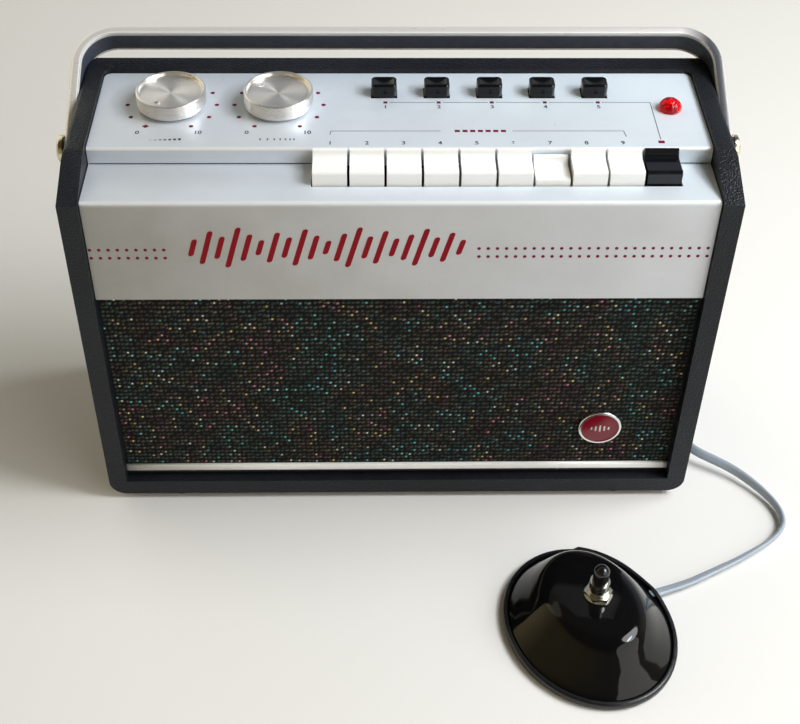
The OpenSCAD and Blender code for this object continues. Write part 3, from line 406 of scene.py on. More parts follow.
def cloth_weave():
    """Black weave with a dim dash of thread and a small fleck of foil in every cell.

    Most flecks are dim. The bright ones are painted glints of the foil, in short runs along a row,
    and their tint drifts over the cloth from teal through grey and gold to pink.
    """
    s = Shader("cloth_weave", (0.012, 0.012, 0.012), 0.85, Specular_IOR_Level=0.15)
    place = s.split(s.place)
    across = s.math("DIVIDE", place["X"], SPECK_ACROSS * MM)
    up = s.math("DIVIDE", place["Z"], SPECK_UP * MM)
    row = s.math("FLOOR", up)
    odd = s.times(s.math("FLOORED_MODULO", row, 2), 0.5)
    column = s.plus(across, odd)
    key = s.add("CombineXYZ", X=s.math("FLOOR", column), Y=row)
    chance = s.add("TexWhiteNoise", Vector=key.outputs[0])
    pick = chance.outputs["Value"]
    shift = s.split(chance.outputs["Color"])
    plain_x = s.math("SUBTRACT", s.math("FRACT", column), 0.5)
    plain_z = s.math("SUBTRACT", s.math("FRACT", up), 0.5)
    cell_x = s.plus(plain_x, s.range(shift["X"], 0, 1, -0.15, 0.15))
    cell_z = s.plus(plain_z, s.range(shift["Y"], 0, 1, -0.2, 0.2))

    def oval(x, z, half_x, half_z):
        x, z = s.math("DIVIDE", x, half_x), s.math("DIVIDE", z, half_z)
        return s.math("SQRT", s.plus(s.times(x, x), s.times(z, z)))

    def risen(x, z):
        """A height in the cell, less the dash's own climb."""
        return s.math("SUBTRACT", z, s.times(x, SPECK_SLANT))

    # Painted glints: where the flecks shine, in runs along a row and a little by chance
    runs = s.add("CombineXYZ", X=s.times(column, 0.45), Y=s.times(row, 5.3))
    run = s.noise(1, 1, vector=runs.outputs[0])
    shine = s.plus(s.times(run, 0.7), s.times(pick, 0.42))
    glow = s.ramp(shine, (0.52, 0.05), (0.66, 0.18), (0.7, 0.7), (0.75, 1))
    fleck = s.range(oval(cell_x, cell_z, FLECK_W, FLECK_H), 1, 0.5)
    # Tints come in patches a few centimetres across, mixed a little from cell to cell
    region = s.plus(s.noise(38, 2, 0.6), s.range(shift["Z"], 0, 1, -0.08, 0.08))
    tint = s.ramp(region, *FLECK_TINTS)
    # The dash of plain thread round each fleck, rising a little to the right, and a darker
    # one between two flecks
    dash = s.range(oval(cell_x, risen(cell_x, cell_z), THREAD_W, THREAD_H), 1, 0)
    side = s.math("SUBTRACT", s.math("FRACT", s.plus(column, 0.5)), 0.5)
    other = s.range(oval(side, risen(side, plain_z), OTHER_W, THREAD_H), 1, 0, 0, 0.6)
    fuzz = s.noise(1, 2, 0.6, vector=s.scaled(500, 500, 900))
    thread = s.times(s.math("MAXIMUM", dash, other), s.range(fuzz, 0.3, 0.7, 0.4, 1.2))
    thread = s.times(thread, s.range(pick, 0, 1, 0.25, 1.35))
    dim = s.mix(0.4, (0.2, 0.2, 0.18), tint, "MULTIPLY")
    ground = s.mix(thread, (0.006, 0.0066, 0.006), dim)
    s.put("Base Color", s.mix(fleck, ground, s.filtered(tint, glow)))
    s.put("Roughness", s.range(fleck, 0, 1, 0.95, 0.6))
    s.put("Normal", s.bump(s.plus(thread, fleck), 0.0004, 0.5))
    return s.material


def magnet_plate():
    """Plated iron, dull in patches."""
    s = Shader("magnet_plate", (0.35, 0.36, 0.37), 0.4, 0.9)
    s.put("Roughness", s.uneven(120, 4, 0.3, 0.55))
    return s.material


def cord_skin():
    """Soft grey-blue plastic, a little uneven."""
    s = Shader("cord_skin", (0.33, 0.38, 0.44), 0.38, Coat_Weight=0.15)
    s.put("Base Color", s.mix(s.noise(40, 4), (0.29, 0.335, 0.39), (0.37, 0.42, 0.48)))
    s.put("Roughness", s.uneven(220, 3, 0.32, 0.46))
    s.put("Normal", s.bump(s.noise(1800, 2), 0.00003, 0.2))
    return s.material


# ---- dressing CAD nodes ----

WELD_GAP = 1e-6  # metres
FLAT_WEIGHT = 60  # how far large faces rule the shading, over 50


def dress(names, material, bevel=0, segments=2, split=32):
    """Gives CAD nodes a material, joined smooth faces and, where asked, softened edges.

    bevel is in millimetres, and split is the angle from which an edge stays an edge.
    """
    for name in [names] if isinstance(names, str) else names:
        node = NODES[name]
        mesh = node.data
        mesh.materials.clear()
        mesh.materials.append(material)
        normals = mesh.attributes.get("custom_normal")
        if normals:
            mesh.attributes.remove(normals)
        mesh.polygons.foreach_set("use_smooth", [True] * len(mesh.polygons))
        node.modifiers.new("weld", "WELD").merge_threshold = WELD_GAP
        if bevel:
            soften = node.modifiers.new("soften", "BEVEL")
            soften.width = bevel * MM
            soften.segments = segments
            soften.limit_method = "ANGLE"
            soften.angle_limit = radians(split)
            soften.harden_normals = soften.use_clamp_overlap = True
            level = node.modifiers.new("level", "WEIGHTED_NORMAL")
            level.weight = FLAT_WEIGHT
            level.keep_sharp = True
        else:
            node.modifiers.new("edges", "EDGE_SPLIT").split_angle = radians(split)


def new_piece(name, mesh, material, body="cabinet", smooth=False):
    mesh.materials.append(material)
    mesh.polygons.foreach_set("use_smooth", [smooth] * len(mesh.polygons))
    piece = placed(name, mesh)
    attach(piece, body)
    return piece


def mesh_from(name, points, faces):
    mesh = bpy.data.meshes.new(name)
    mesh.from_pydata([tuple(p) for p in points], [], faces)
    mesh.validate()
    mesh.update()
    return mesh


def strips(pairs, n):
    """Quads between pairs of rings of n points each, by the rings' numbers."""
    return [(a * n + k, a * n + (k + 1) % n, b * n + (k + 1) % n, b * n + k)
            for a, b in pairs for k in range(n)]


# ---- printed marks ----

PRINT = 0.04  # mm that ink stands above its sheet
STROKE_SWELL = 0.1  # mm that a numeral's strokes are thickened on each side
FONT_SIZE = 1.38  # times a numeral's height


class Prints:
    """Flat marks gathered into one mesh. flat() says where a mark's plane lies."""

    def __init__(self, flat):
        self.flat = flat
        self.points = []
        self.faces = []

    def polygon(self, outline):
        first = len(self.points)
        self.points += [self.flat(a, b) for a, b in outline]
        self.faces.append(tuple(range(first, len(self.points))))

    def dot(self, a, b, r, sides=20):
        turns = [tau * i / sides for i in range(sides)]
        self.polygon([(a + r * cos(turn), b + r * sin(turn)) for turn in turns])

    def bar(self, a0, b0, a1, b1):
        self.polygon([(a0, b0), (a1, b0), (a1, b1), (a0, b1)])

    def line(self, start, end, width):
        start, end = Vector(start), Vector(end)
        along = (end - start).normalized()
        side = Vector((-along.y, along.x)) * width / 2
        self.polygon([start - side, end - side, end + side, start + side])

    def piece(self, name, material):
        return new_piece(name, mesh_from(name, self.points, self.faces), material)


def on_deck(x, y):
    return at(x, y, DECK_Z + PRINT)


def on_face(x, z):
    return at(x, PANEL_Y - PRINT, z)


def numbers(name, labels, material):
    """One piece that holds upright numerals, centred on each (text, x, y) label's place."""
    sheet = bmesh.new()
    for text, x, y in labels:
        curve = bpy.data.curves.new("number", "FONT")
        curve.body = text
        curve.size = NUMBER_H * MM * FONT_SIZE
        curve.offset = STROKE_SWELL * MM
        curve.align_x = curve.align_y = "CENTER"
        holder = placed("number", curve)
        bpy.context.view_layer.update()
        mesh = bpy.data.meshes.new_from_object(holder)
        mesh.transform(Matrix.Translation(on_deck(x, y)))
        sheet.from_mesh(mesh)
        bpy.data.objects.remove(holder)
        bpy.data.meshes.remove(mesh)
    joined = bpy.data.meshes.new(name)
    sheet.to_mesh(joined)
    sheet.free()
    return new_piece(name, joined, material)


KNOB_NAMES = ("volume_knob", "tempo_knob")
SCALE_R = 24.8  # of the dots round each knob
SCALE_ANGLES = [a for a in range(-150, 181, 30) if a]  # from the front, left negative
SCALE_GAP = -120  # the volume scale has no dot here
SCALE_START = -30  # and a diamond here
DIAMOND_W, DIAMOND_H = 2.1, 1.7  # half sizes
DOT_R = 1.25
SCALE_ENDS = (("0", -16.3), ("10", 16.5))
SCALE_END_Y, WEDGE_Y = -27.6, -34.2  # from the knob's middle
NUMBER_H = 3.2
LABEL_Y = 78.9  # of the numbers in front of the pads
KEY_LABEL_Y = 43.2
LINE_W = 0.4
MARK_Y = 83.5  # of the pads' row of marks and its line
MARK_HALF = 1.1  # half a mark's side
MARK_SHIFT = 1.3  # of the last pad's mark, to the right of its pad
MARK_GAP = 2.2  # between a mark's middle and the line's end
LINE_END = 140.9  # where the pads' line turns towards the black key
BRACKET_Y = 54.8
# The bracket over the keys, open in the middle, and the pads' line down to the black key
DECK_LINES = (((-37.9, BRACKET_Y), (21.8, BRACKET_Y)), ((61.1, BRACKET_Y), (122, BRACKET_Y)),
              ((-37.9, BRACKET_Y), (-38.5, 51.4)), ((122, BRACKET_Y), (122.9, 49.2)),
              ((LINE_END, MARK_Y), (141.2, 46.4)))
HEADING = (29.6, 32.4)  # the first of seven bars in the bracket's opening
HEADING_PITCH = 4.2
KEY_MARK = (139.6, 42.8, 143, 45.4)  # the black key's


def wedge(prints, x, y, rising):
    """A plain sign under a knob: a rising wedge of bars, or bars that close up."""
    place = -9
    for k in range(7):
        wide, tall, step = (1.5, 0.3 + 0.28 * k, 2.6) if rising else (0.7, 1.8, 4 - 0.38 * k)
        prints.bar(x + place, y - 0.9, x + place + wide, y - 0.9 + tall)
        place += step


def print_scale(name, dots, lines, labels):
    """Dots, end numbers and a sign round one knob."""
    _, _, (x, y, _) = node_box(name)
    volume = name == "volume_knob"
    for angle in SCALE_ANGLES:
        if volume and angle == SCALE_GAP:
            continue
        turn = radians(angle)
        a, b = x + SCALE_R * sin(turn), y - SCALE_R * cos(turn)
        if volume and angle == SCALE_START:
            dots.polygon([(a, b - DIAMOND_H), (a + DIAMOND_W, b), (a, b + DIAMOND_H),
                          (a - DIAMOND_W, b)])
        else:
            dots.dot(a, b, DOT_R)
    labels += [(text, x + shift, y + SCALE_END_Y) for text, shift in SCALE_ENDS]
    wedge(lines, x, y + WEDGE_Y, volume)


def print_deck(red, grey):
    """All that is printed on the deck: scales, marks, lines and numbers."""
    dots, lines, labels = Prints(on_deck), Prints(on_deck), []
    for name in KNOB_NAMES:
        print_scale(name, dots, lines, labels)
    marks_x = []
    for i in range(1, 6):
        x = node_box(f"pad_{i}")[2][0] + MARK_SHIFT * (i + 4) / 9
        marks_x.append(x)
        dots.bar(x - MARK_HALF, MARK_Y - MARK_HALF, x + MARK_HALF, MARK_Y + MARK_HALF)
        labels.append((str(i), x, LABEL_Y))
    labels += [(str(i), node_box(f"key_{i}")[2][0], KEY_LABEL_Y) for i in range(1, 10)]
    for start, end in DECK_LINES:
        lines.line(start, end, LINE_W)
    for here, there in zip(marks_x, marks_x[1:] + [LINE_END + MARK_GAP]):
        lines.line((here + MARK_GAP, MARK_Y), (there - MARK_GAP, MARK_Y), LINE_W)
    for k in range(7):
        shift = HEADING_PITCH * k
        dots.bar(HEADING[0] + shift, BRACKET_Y - 1.1, HEADING[1] + shift, BRACKET_Y + 1.1)
    dots.bar(*KEY_MARK)
    dots.piece("scale_dots", red)
    lines.piece("printed_lines", grey)
    numbers("printed_numbers", labels, grey)


# The painted shadow strip in the gap at the riser's foot
SHADOW_STRIP_H = 0.55  # mm
SHADOW_STRIP_LIFT = 0.02  # of its foot above the lower deck
SHADOW_STRIP_END = 0.6  # from its ends to the riser's
SHADOW_STRIP_KEYS = 0.8  # from its inner ends to the keys


def add_riser_seam(material):
    """A painted shadow: a dark strip in the gap at the foot of the deck's riser, on both sides of
    the keys.
    """
    (left, riser_y, _), (right, _, _), _ = node_box("control_deck")
    first, last = node_box("key_1")[0][0] - SHADOW_STRIP_KEYS, node_box("key_10")[1][0] + SHADOW_STRIP_KEYS
    gap_shadow = Prints(lambda a, b: at(a, riser_y - PRINT, b))
    for start, end in ((left + SHADOW_STRIP_END, first), (last, right - SHADOW_STRIP_END)):
        gap_shadow.bar(start, STEP_Z + SHADOW_STRIP_LIFT, end, STEP_Z + SHADOW_STRIP_H)
    gap_shadow.piece("riser_gap_shadow", material)


DOT_PITCH = 4.96
FACE_DOT_R = 1
FACE_DOT_SIDES = 14
DOT_ROWS = ((196.1, 0), (190.6, 0.2))  # height and shift to the right
DOT_RUNS = ((-167.2, 9, -0.5), (41.8, 26, 0))  # first dot, how many, shift upwards


def print_face(red):
    """Two rows of dots on either side of a red ornament of plain rounded bars."""
    dots = Prints(on_face)
    for z, shift in DOT_ROWS:
        for first, count, rise in DOT_RUNS:
            for k in range(count):
                dots.dot(first + shift + k * DOT_PITCH, z + rise, FACE_DOT_R, FACE_DOT_SIDES)
    dots.piece("face_dots", red)


# The ornament's bars: half lengths as shares of the longest, and sizes in millimetres
BEAT = (0.35, 0.8, 0.5, 1, 0.62, 0.3, 0.72, 0.45, 0.9, 0.55, 0.26, 0.66, 1, 0.5, 0.8, 0.38,
        0.6, 0.92, 0.44, 0.7, 0.3)
BEAT_START, BEAT_PITCH, BEAT_W = -112, 7.2, 3.1
BEAT_Z, BEAT_REACH, BEAT_LEAN = 197, 12, 0.28


def print_ornament(red):
    """A pulse of slanted bars with round ends, in the printed rows' red."""
    marks = Prints(on_face)
    radius = BEAT_W / 2
    for k, share in enumerate(BEAT):
        x, half = BEAT_START + k * BEAT_PITCH, share * BEAT_REACH
        outline = []
        for end, start in ((-1, pi), (1, 0)):
            for step in range(9):
                a = start + pi * step / 8
                outline.append((x + radius * cos(a), end * half + radius * sin(a)))
        marks.polygon([(a + BEAT_LEAN * b, BEAT_Z + b) for a, b in outline])
    marks.piece("ornament", red)


# ---- detailed pieces ----

MOTIF_LIFT = 0.03  # mm in front of the badge
BADGE_CROWN = 0.0035  # its face falls back by this times the squared radius


def badge_motif(material):
    """Five small raised bars on the badge, a plain echo of the ornament."""
    (_, front, _), _, (x, _, z) = node_box("badge_face")
    marks = Prints(lambda a, b: at(x + a, front - MOTIF_LIFT + BADGE_CROWN * (a * a + b * b),
                                   z + b))
    for k in range(-2, 3):
        half = 2.6 - abs(k) * 0.7
        marks.bar(k * 2.6 - 0.5, -half, k * 2.6 + 0.5, half)
    return marks.piece("badge_motif", material)


PAD_CORNER = 2.2  # of a pad's upright edges
PAD_FILLET = 1.1  # of its top edge
PAD_DISH = 1.3
DISH_SHARES = (0.95, 0.88, 0.78, 0.64, 0.48, 0.32, 0.16, 0.04)  # sizes of the dish's rings


def rounded_outline(half_w, half_d, corner, steps=6):
    """Points round a rectangle with round corners."""
    corner = min(corner, half_w, half_d)
    return [(sx * (half_w - corner) + corner * cos(radians(a)),
             sy * (half_d - corner) + corner * sin(radians(a)))
            for sx, sy, start in ((1, 1, 0), (-1, 1, 90), (-1, -1, 180), (1, -1, 270))
            for a in [start + 90 * k / steps for k in range(steps + 1)]]


def lofted(name, rings, material, body="cabinet"):
    """A closed piece through rings of as many points each, in cabinet millimetres."""
    n, count = len(rings[0]), len(rings)
    faces = strips([(r, r + 1) for r in range(count - 1)], n)
    faces = [tuple(reversed(range(n))), *faces, tuple(range(count * n - n, count * n))]
    points = [at(*p) for ring in rings for p in ring]
    return new_piece(name, mesh_from(name, points, faces), material, body, smooth=True)


def add_pad(i, material):
    """A push pad with round edges and an oval dish in its top."""
    (x0, y0, bottom), (x1, y1, top), (x, y, _) = node_box(f"pad_{i}")
    rings = []

    def ring(inset, z, share=1):
        outline = rounded_outline((x1 - x0) / 2 - inset, (y1 - y0) / 2 - inset,
                                  PAD_CORNER - inset * 0.6)
        rings.append([(x + share * a, y + share * b, z) for a, b in outline])

    ring(0, bottom)
    ring(0, top - PAD_FILLET)
    for a in range(15, 91, 15):
        ring(PAD_FILLET * (1 - cos(radians(a))), top - PAD_FILLET + PAD_FILLET * sin(radians(a)))
    for share in DISH_SHARES:
        ring(PAD_FILLET, top - PAD_DISH * (1 - (share / 0.97) ** 2), share)
    pad = lofted(f"pad_{i}_skin", rings, material, f"pad_{i}_cap")
    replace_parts(pad, f"pad_{i}")


def turned(x, y, profile, sides, dent=lambda u, v, z: 0):
    """Rings of a form turned round x, y, from (radius, height) pairs, less any dent."""
    rings = []
    for r, z in profile:
        round_xy = [(r * cos(tau * k / sides), r * sin(tau * k / sides)) for k in range(sides)]
        rings.append([(x + u, y + v, z - dent(u, v, z)) for u, v in round_xy])
    return rings


KNOB_R = 19.3
KNOB_RIM = 1.5
KNOB_DISH = 2.2
KNOB_SIDES = 160
GROOVES, GROOVE_FROM, GROOVE_PITCH = 5, 2.6, 1.15
DISH_RINGS = 60
DISH_DOME = 0.25  # fall of the dish's floor from its edge to its middle
POINTERS = {"volume_knob": (-6.5, -10.5), "tempo_knob": (-9.8, 7.9)}  # from the middle
POINTER_R = 1.35
POINTER_DEPTH = 0.5


def add_knob(name, material):
    """A turned knob: grooved skirt, round rim, flat-floored dish with a pointer dimple."""
    (_, _, bottom), (_, _, top), (x, y, _) = node_box(name)
    dish = top - KNOB_DISH
    inner = KNOB_R - KNOB_RIM - 0.6
    profile = [(1, bottom), (KNOB_R - 0.5, bottom), (KNOB_R - 0.35, bottom + 0.15),
               (KNOB_R - 0.1, bottom + 1.2)]
    for k in range(GROOVES):
        z = bottom + GROOVE_FROM + GROOVE_PITCH * k
        profile += [(KNOB_R, z), (KNOB_R, z + 0.75), (KNOB_R - 0.12, z + 0.95)]
    profile += [(KNOB_R, top - 0.7), (KNOB_R - 0.1, top - 0.3), (KNOB_R - 0.35, top - 0.07),
                (KNOB_R - 0.6, top), (KNOB_R - KNOB_RIM + 0.2, top),
                (KNOB_R - KNOB_RIM, top - 0.12), (inner + 0.35, dish + 0.5),
                (inner + 0.1, dish + 0.1), (inner - 0.3, dish)]
    for k in range(DISH_RINGS):
        r = (inner - 0.6) * (1 - k / DISH_RINGS)
        profile.append((r, dish - DISH_DOME * (1 - r / inner)))

    def dimple(u, v, z):
        gap = hypot(u - POINTERS[name][0], v - POINTERS[name][1]) / POINTER_R
        return POINTER_DEPTH * (1 - gap * gap) if gap < 1 and z > dish - 1 else 0

    rings = turned(x, y, profile, KNOB_SIDES, dimple)
    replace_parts(lofted(f"{name}_skin", rings, material, name.split("_")[0]), name)


LENS_R = 6.4
LENS_SKIRT = 1.2  # height of the straight part under the dome
LENS_SIDES = 64


def add_lens(material):
    """The lamp's lens: a short round skirt and a full dome over it."""
    _, (_, _, top), (x, y, _) = node_box("lamp_lens")
    shoulder = DECK_Z + LENS_SKIRT
    rise = top - shoulder
    profile = [(LENS_R - 0.2, DECK_Z + 0.02), (LENS_R, DECK_Z + 0.2), (LENS_R, shoulder)]
    profile += [(LENS_R * cos(a), shoulder + rise * sin(a)) for a in map(radians, range(6, 90, 6))]
    rings = turned(x, y, profile, LENS_SIDES)
    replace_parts(lofted("lamp_dome", rings, material), "lamp_lens")


# The bail's section: u outwards from the grip's inside, v across it
BAIL_PIVOT = (63.5, 219.5)
BAIL_LEAN = radians(64.4)
BAIL_REACH = 77.4
BAIL_INNER = 180.3  # half the way between the legs
BAIL_BEND = 18.8  # inside radius of its corners
BAIL_NEAR, BAIL_FAR = -6.1, 10.2  # the two sides of the grip, in v
LEG_FAR = 6.1  # far side of a leg where it leaves its boss
LEG_FOOT, LEG_TAPER = 9, 17  # where it starts to widen, and over what length
BAIL_OUT = 5.3  # outside, in u
BAIL_PROUD = 0.1  # of the CAD's bail
BAIL_EDGE_R = 1.6
BAIL_LIP_R = 1
BAIL_LIP = 2.6  # width of the near side's wall
BAIL_WALL = 1.4  # and of the far one's
BAIL_FLOOR, BAIL_OPEN = 3.8, -0.15  # floor and mouth of the channel, in u
LINING = (-0.05, 3.9)  # the lining's two faces, in u
LINING_LAP = 0.1  # of its sides into the channel's walls
QUARTER = [radians(a) for a in (0, 22, 45, 67, 90)]
CREASE = radians(35)  # from which an edge stays sharp


def bail_stations():
    """Along the bail: its bend's middle, the way that u points there, and its far side."""
    bend_x, bend_z = BAIL_INNER - BAIL_BEND, BAIL_REACH - BAIL_OUT + BAIL_PROUD - BAIL_BEND
    left = []
    for share in (0, 0.2, 0.4, 0.6, 0.8, 1):
        far = LEG_FAR + (BAIL_FAR - LEG_FAR) * (3 * share ** 2 - 2 * share ** 3)
        left.append(((-bend_x, LEG_FOOT + LEG_TAPER * share), pi, far))
    left += [((-bend_x, bend_z), radians(a), BAIL_FAR) for a in range(180, 89, -6)]
    middle = [((x, bend_z), pi / 2, BAIL_FAR) for x in (-80, 0, 80)]
    right = [((-x, z), pi - turn, far) for (x, z), turn, far in reversed(left)]
    return left + middle + right


def bail_point(centre, turn, u, v):
    """A point of the bail's section in cabinet millimetres."""
    reach = BAIL_BEND + u
    x = centre[0] + reach * cos(turn)
    up = centre[1] + reach * sin(turn)
    sine, cosine = sin(BAIL_LEAN), cos(BAIL_LEAN)
    return (x, BAIL_PIVOT[0] + v * cosine + up * sine, BAIL_PIVOT[1] - v * sine + up * cosine)


def channel_outline(far):
    """The channel's section: a round lip, two round edges, and the groove behind them."""
    lip, edge = BAIL_LIP_R, BAIL_EDGE_R
    wall_far, wall_near = far - BAIL_WALL, BAIL_NEAR + BAIL_LIP
    return ([(lip + BAIL_OPEN - lip * sin(a), BAIL_NEAR + lip - lip * cos(a))
             for a in reversed(QUARTER)]
            + [(BAIL_OUT - edge + edge * sin(a), BAIL_NEAR + edge - edge * cos(a))
               for a in QUARTER]
            + [(BAIL_OUT - edge + edge * cos(a), far - edge + edge * sin(a))
               for a in QUARTER]
            + [(BAIL_OPEN, far), (BAIL_OPEN, wall_far), (BAIL_FLOOR, wall_far),
               (BAIL_FLOOR, wall_near), (BAIL_OPEN, wall_near)])


def add_bail(chrome, edge, dark):
    """The bail's full channel, with a painted highlight along its lip, and its dark lining, over
    the plain one of the CAD.
    """
    shells, pads = [], []
    for centre, turn, far in bail_stations():
        outline = channel_outline(far)
        shells.append([bail_point(centre, turn, u, v) for u, v in outline])
        near_v, far_v = BAIL_NEAR + BAIL_LIP - LINING_LAP, far - BAIL_WALL + LINING_LAP
        inside, floor = LINING
        pads.append([bail_point(centre, turn, u, v) for u, v in
                     ((inside, near_v), (floor, near_v), (floor, far_v), (inside, far_v))])
    shell = lofted("handle_channel", shells, chrome, "carrying_handle")
    shell.data.materials.append(edge)
    # Painted highlight: the lip's four strips, which face the camera, get a whiter, brighter copy
    # of the metal
    for face in shell.data.polygons[1:-1]:
        if (face.index - 1) % len(shells[0]) < len(QUARTER) - 1:
            face.material_index = 1
    for piece in (shell, lofted("handle_lining", pads, dark, "carrying_handle")):
        piece.modifiers.new("edges", "EDGE_SPLIT").split_angle = CREASE


TRIM_FOOT = 2.2  # of the moulding above the foot of the CAD's plain strip
TRIM_RISE = 1.5  # of its top above the strip's
TRIM_CORNER = 1


def add_trim(material):
    """The bright moulding along the foot of the grille, with round edges."""
    (x0, y0, z0), (x1, y1, z1), _ = node_box("grille_trim")
    z0, z1 = z0 + TRIM_FOOT, z1 + TRIM_RISE
    outline = rounded_outline((y1 - y0) / 2, (z1 - z0) / 2, TRIM_CORNER)
    rings = [[(x, (y0 + y1) / 2 + a, (z0 + z1) / 2 + b) for a, b in outline]
             for x in (x0, x0 / 2, 0, x1 / 2, x1)]
    trim = lofted("trim_moulding", rings, material)
    for end in (0, -1):
        trim.data.polygons[end].use_smooth = False
    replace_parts(trim, "grille_trim")


def spline(points, per_span):
    """A smooth curve through points of any number of values, with even steps."""
    out = []
    padded = [points[0]] + list(points) + [points[-1]]
    for i in range(1, len(padded) - 2):
        p0, p1, p2, p3 = padded[i - 1:i + 3]
        for step in range(per_span):
            t = step / per_span
            out.append([0.5 * (2 * b + (c - a) * t + (2 * a - 5 * b + 4 * c - d) * t * t
                               + (3 * b - a - 3 * c + d) * t ** 3)
                        for a, b, c, d in zip(p0, p1, p2, p3)])
    return out + [list(points[-1])]


CORD_W, CORD_T = 6, 3.4
CORD_SIDES = 20
CORD_GROOVE, CORD_GROOVE_HALF = 0.16, 0.8  # depth as a share of the thickness, and half width
# The cord's two free ends: x, y, z and the turn of its flat side from level, in degrees
TAIL = [(104, 158, 42, 0), (104, 164, 42, 0), (104, 170, 41, 0), (104, 176, 37.5, 0),
        (104, 180.5, 32, 0), (104, 184, 25.5, 0), (104, 187.5, 19, 0), (104, 191.5, 13, 0),
        (104, 196.5, 8, 0), (104, 203, 4.4, 0), (104, 210.5, 2.4, 0), (104, 218, 1.9, 0)]
RUN = [(153.5, 253.6, 12.4, 0), (163, 247.5, 11.6, 0), (172, 241, 9.9, 0),
       (180.5, 234, 7.7, 0), (188, 226, 5.4, 0), (194.5, 217, 3.5, 0), (199.5, 207, 2.3, 0),
       (203.5, 196, 1.9, 0), (206, 184, 1.8, 0), (207, 172, 1.8, 0), (206.5, 160, 1.8, 0),
       (205, 148, 1.8, 0), (202.5, 136, 1.8, 0), (199.5, 124, 1.8, 0), (196, 112, 1.8, 0),
       (192.5, 100, 1.9, 0), (189.5, 88, 2.4, -10), (187, 76, 3.4, -25), (185.5, 64, 4.9, -40),
       (185, 53, 6.6, -50), (185.7, 43.5, 8.2, -50), (188.7, 35, 9, -47), (195, 28, 8.8, -47),
       (203.5, 22.6, 8, -49), (211.6, 17.6, 6.9, -55), (219, 11.8, 5.8, -63),
       (226, 4.5, 4.8, -72), (231.8, -3, 4.1, -80), (236.5, -11, 3.5, -87),
       (239, -20, 3.2, -90), (238, -28.5, 3.1, -86), (233, -36, 3, -76),
       (225, -42.8, 2.8, -62), (215.5, -49, 2.7, -50), (205, -55.2, 2.5, -40),
       (194, -61, 2.4, -33), (184, -66.2, 2.4, -27), (174.5, -71, 2.3, -22),
       (165.5, -74.7, 2.3, -15), (158, -77.5, 2.4, -8), (152.5, -79.6, 2.6, 0),
       (147.5, -81.7, 3.5, 0), (143, -83.7, 4.8, 0), (138, -86.1, 6.2, 0), (131, -89.5, 7.4, 0),
       (124, -92.6, 7.6, 0)]
COIL_MIDDLE = (137, 225)
COIL_R = 30
COIL_ACROSS, COIL_LAYERS = 6.1, 3.5  # from one turn's middle to the next
COIL_LOW = 1.85  # height of the lowest turns' middle
COIL_START = 192  # degrees, where the tail meets the coil
COIL_END = 60
COIL_STEP = 12  # degrees between points
# Ring (1 outer, -1 inner) and layer of each turn in order, the last one twice
COIL_LADDER = ((1, 0), (-1, 0), (-1, 1), (1, 1), (1, 2), (-1, 2), (-1, 3), (1, 3), (1, 3))


def coil_points():
    """Clockwise turns from the tail's end to the run's start, out and in, layer on layer."""
    total = (len(COIL_LADDER) - 2) * 360 + (COIL_START - COIL_END)
    steps = int(total / COIL_STEP)
    points = []
    for i in range(1, steps):
        turned_by = total * i / steps
        whole = turned_by / 360
        lap = int(whole)
        (ring, layer), (next_ring, next_layer) = COIL_LADDER[lap:lap + 2]
        # Each change of ring or layer takes the second half of a turn
        ease = max(0, min(1, (whole - lap - 0.5) * 2))
        ease = ease * ease * (3 - 2 * ease)
        r = COIL_R + COIL_ACROSS / 2 * (ring + (next_ring - ring) * ease)
        layer += (next_layer - layer) * ease
        a = radians(COIL_START - turned_by)
        points.append((COIL_MIDDLE[0] + r * cos(a), COIL_MIDDLE[1] + r * sin(a),
                       COIL_LOW + COIL_LAYERS * layer, 0))
    return points


def swept(route, outline):
    """A closed tube of outline (side, up) points along x, y, z, turn rows; and its path."""
    path = [at(*p[:3]) for p in route]
    points = []
    for i, p in enumerate(path):
        ahead = (path[min(len(path) - 1, i + 1)] - path[max(0, i - 1)]).normalized()
        side = Vector((-ahead.y, ahead.x, 0)).normalized()
        up = ahead.cross(side)
        turn = radians(route[i][3])
        for a, b in outline:
            points.append(p + MM * ((a * cos(turn) - b * sin(turn)) * side
                                    + (a * sin(turn) + b * cos(turn)) * up))
    n = len(outline)
    faces = strips([(i, i + 1) for i in range(len(path) - 1)], n)
    faces += [tuple(reversed(range(n))), tuple(range(len(points) - n, len(points)))]
    return points, faces, path


def cord_outline():
    """A flat two-core cord: an oval with a shallow groove along each face."""
    outline = []
    for k in range(CORD_SIDES):
        a = tau * k / CORD_SIDES
        x = CORD_W / 2 * cos(a)
        groove = CORD_GROOVE * exp(-(x / CORD_GROOVE_HALF) ** 2)
        outline.append((x, CORD_T / 2 * sin(a) * (1 - groove)))
    return outline


def add_cord(skin, tie_material):
    """The foot switch's cord, from its exit under the shell to the plug at the back."""
    route = list(reversed(spline(TAIL, 3)[:-1] + coil_points() + spline(RUN, 4)))
    points, faces, path = swept(route, cord_outline())
    mesh = mesh_from("foot_switch_cord", points, faces)
    cord = new_piece("foot_switch_cord", mesh, skin, smooth=True)
    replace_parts(cord, "cord_tail", "cord_coil", "cord_run")
    tie = add_tie(tie_material)


TIE_HALF = 4  # half the strap's width
TIE_T = 0.7
TIE_ROOM = 0.4  # between the bundle and the strap
TIE_SIDES = 32


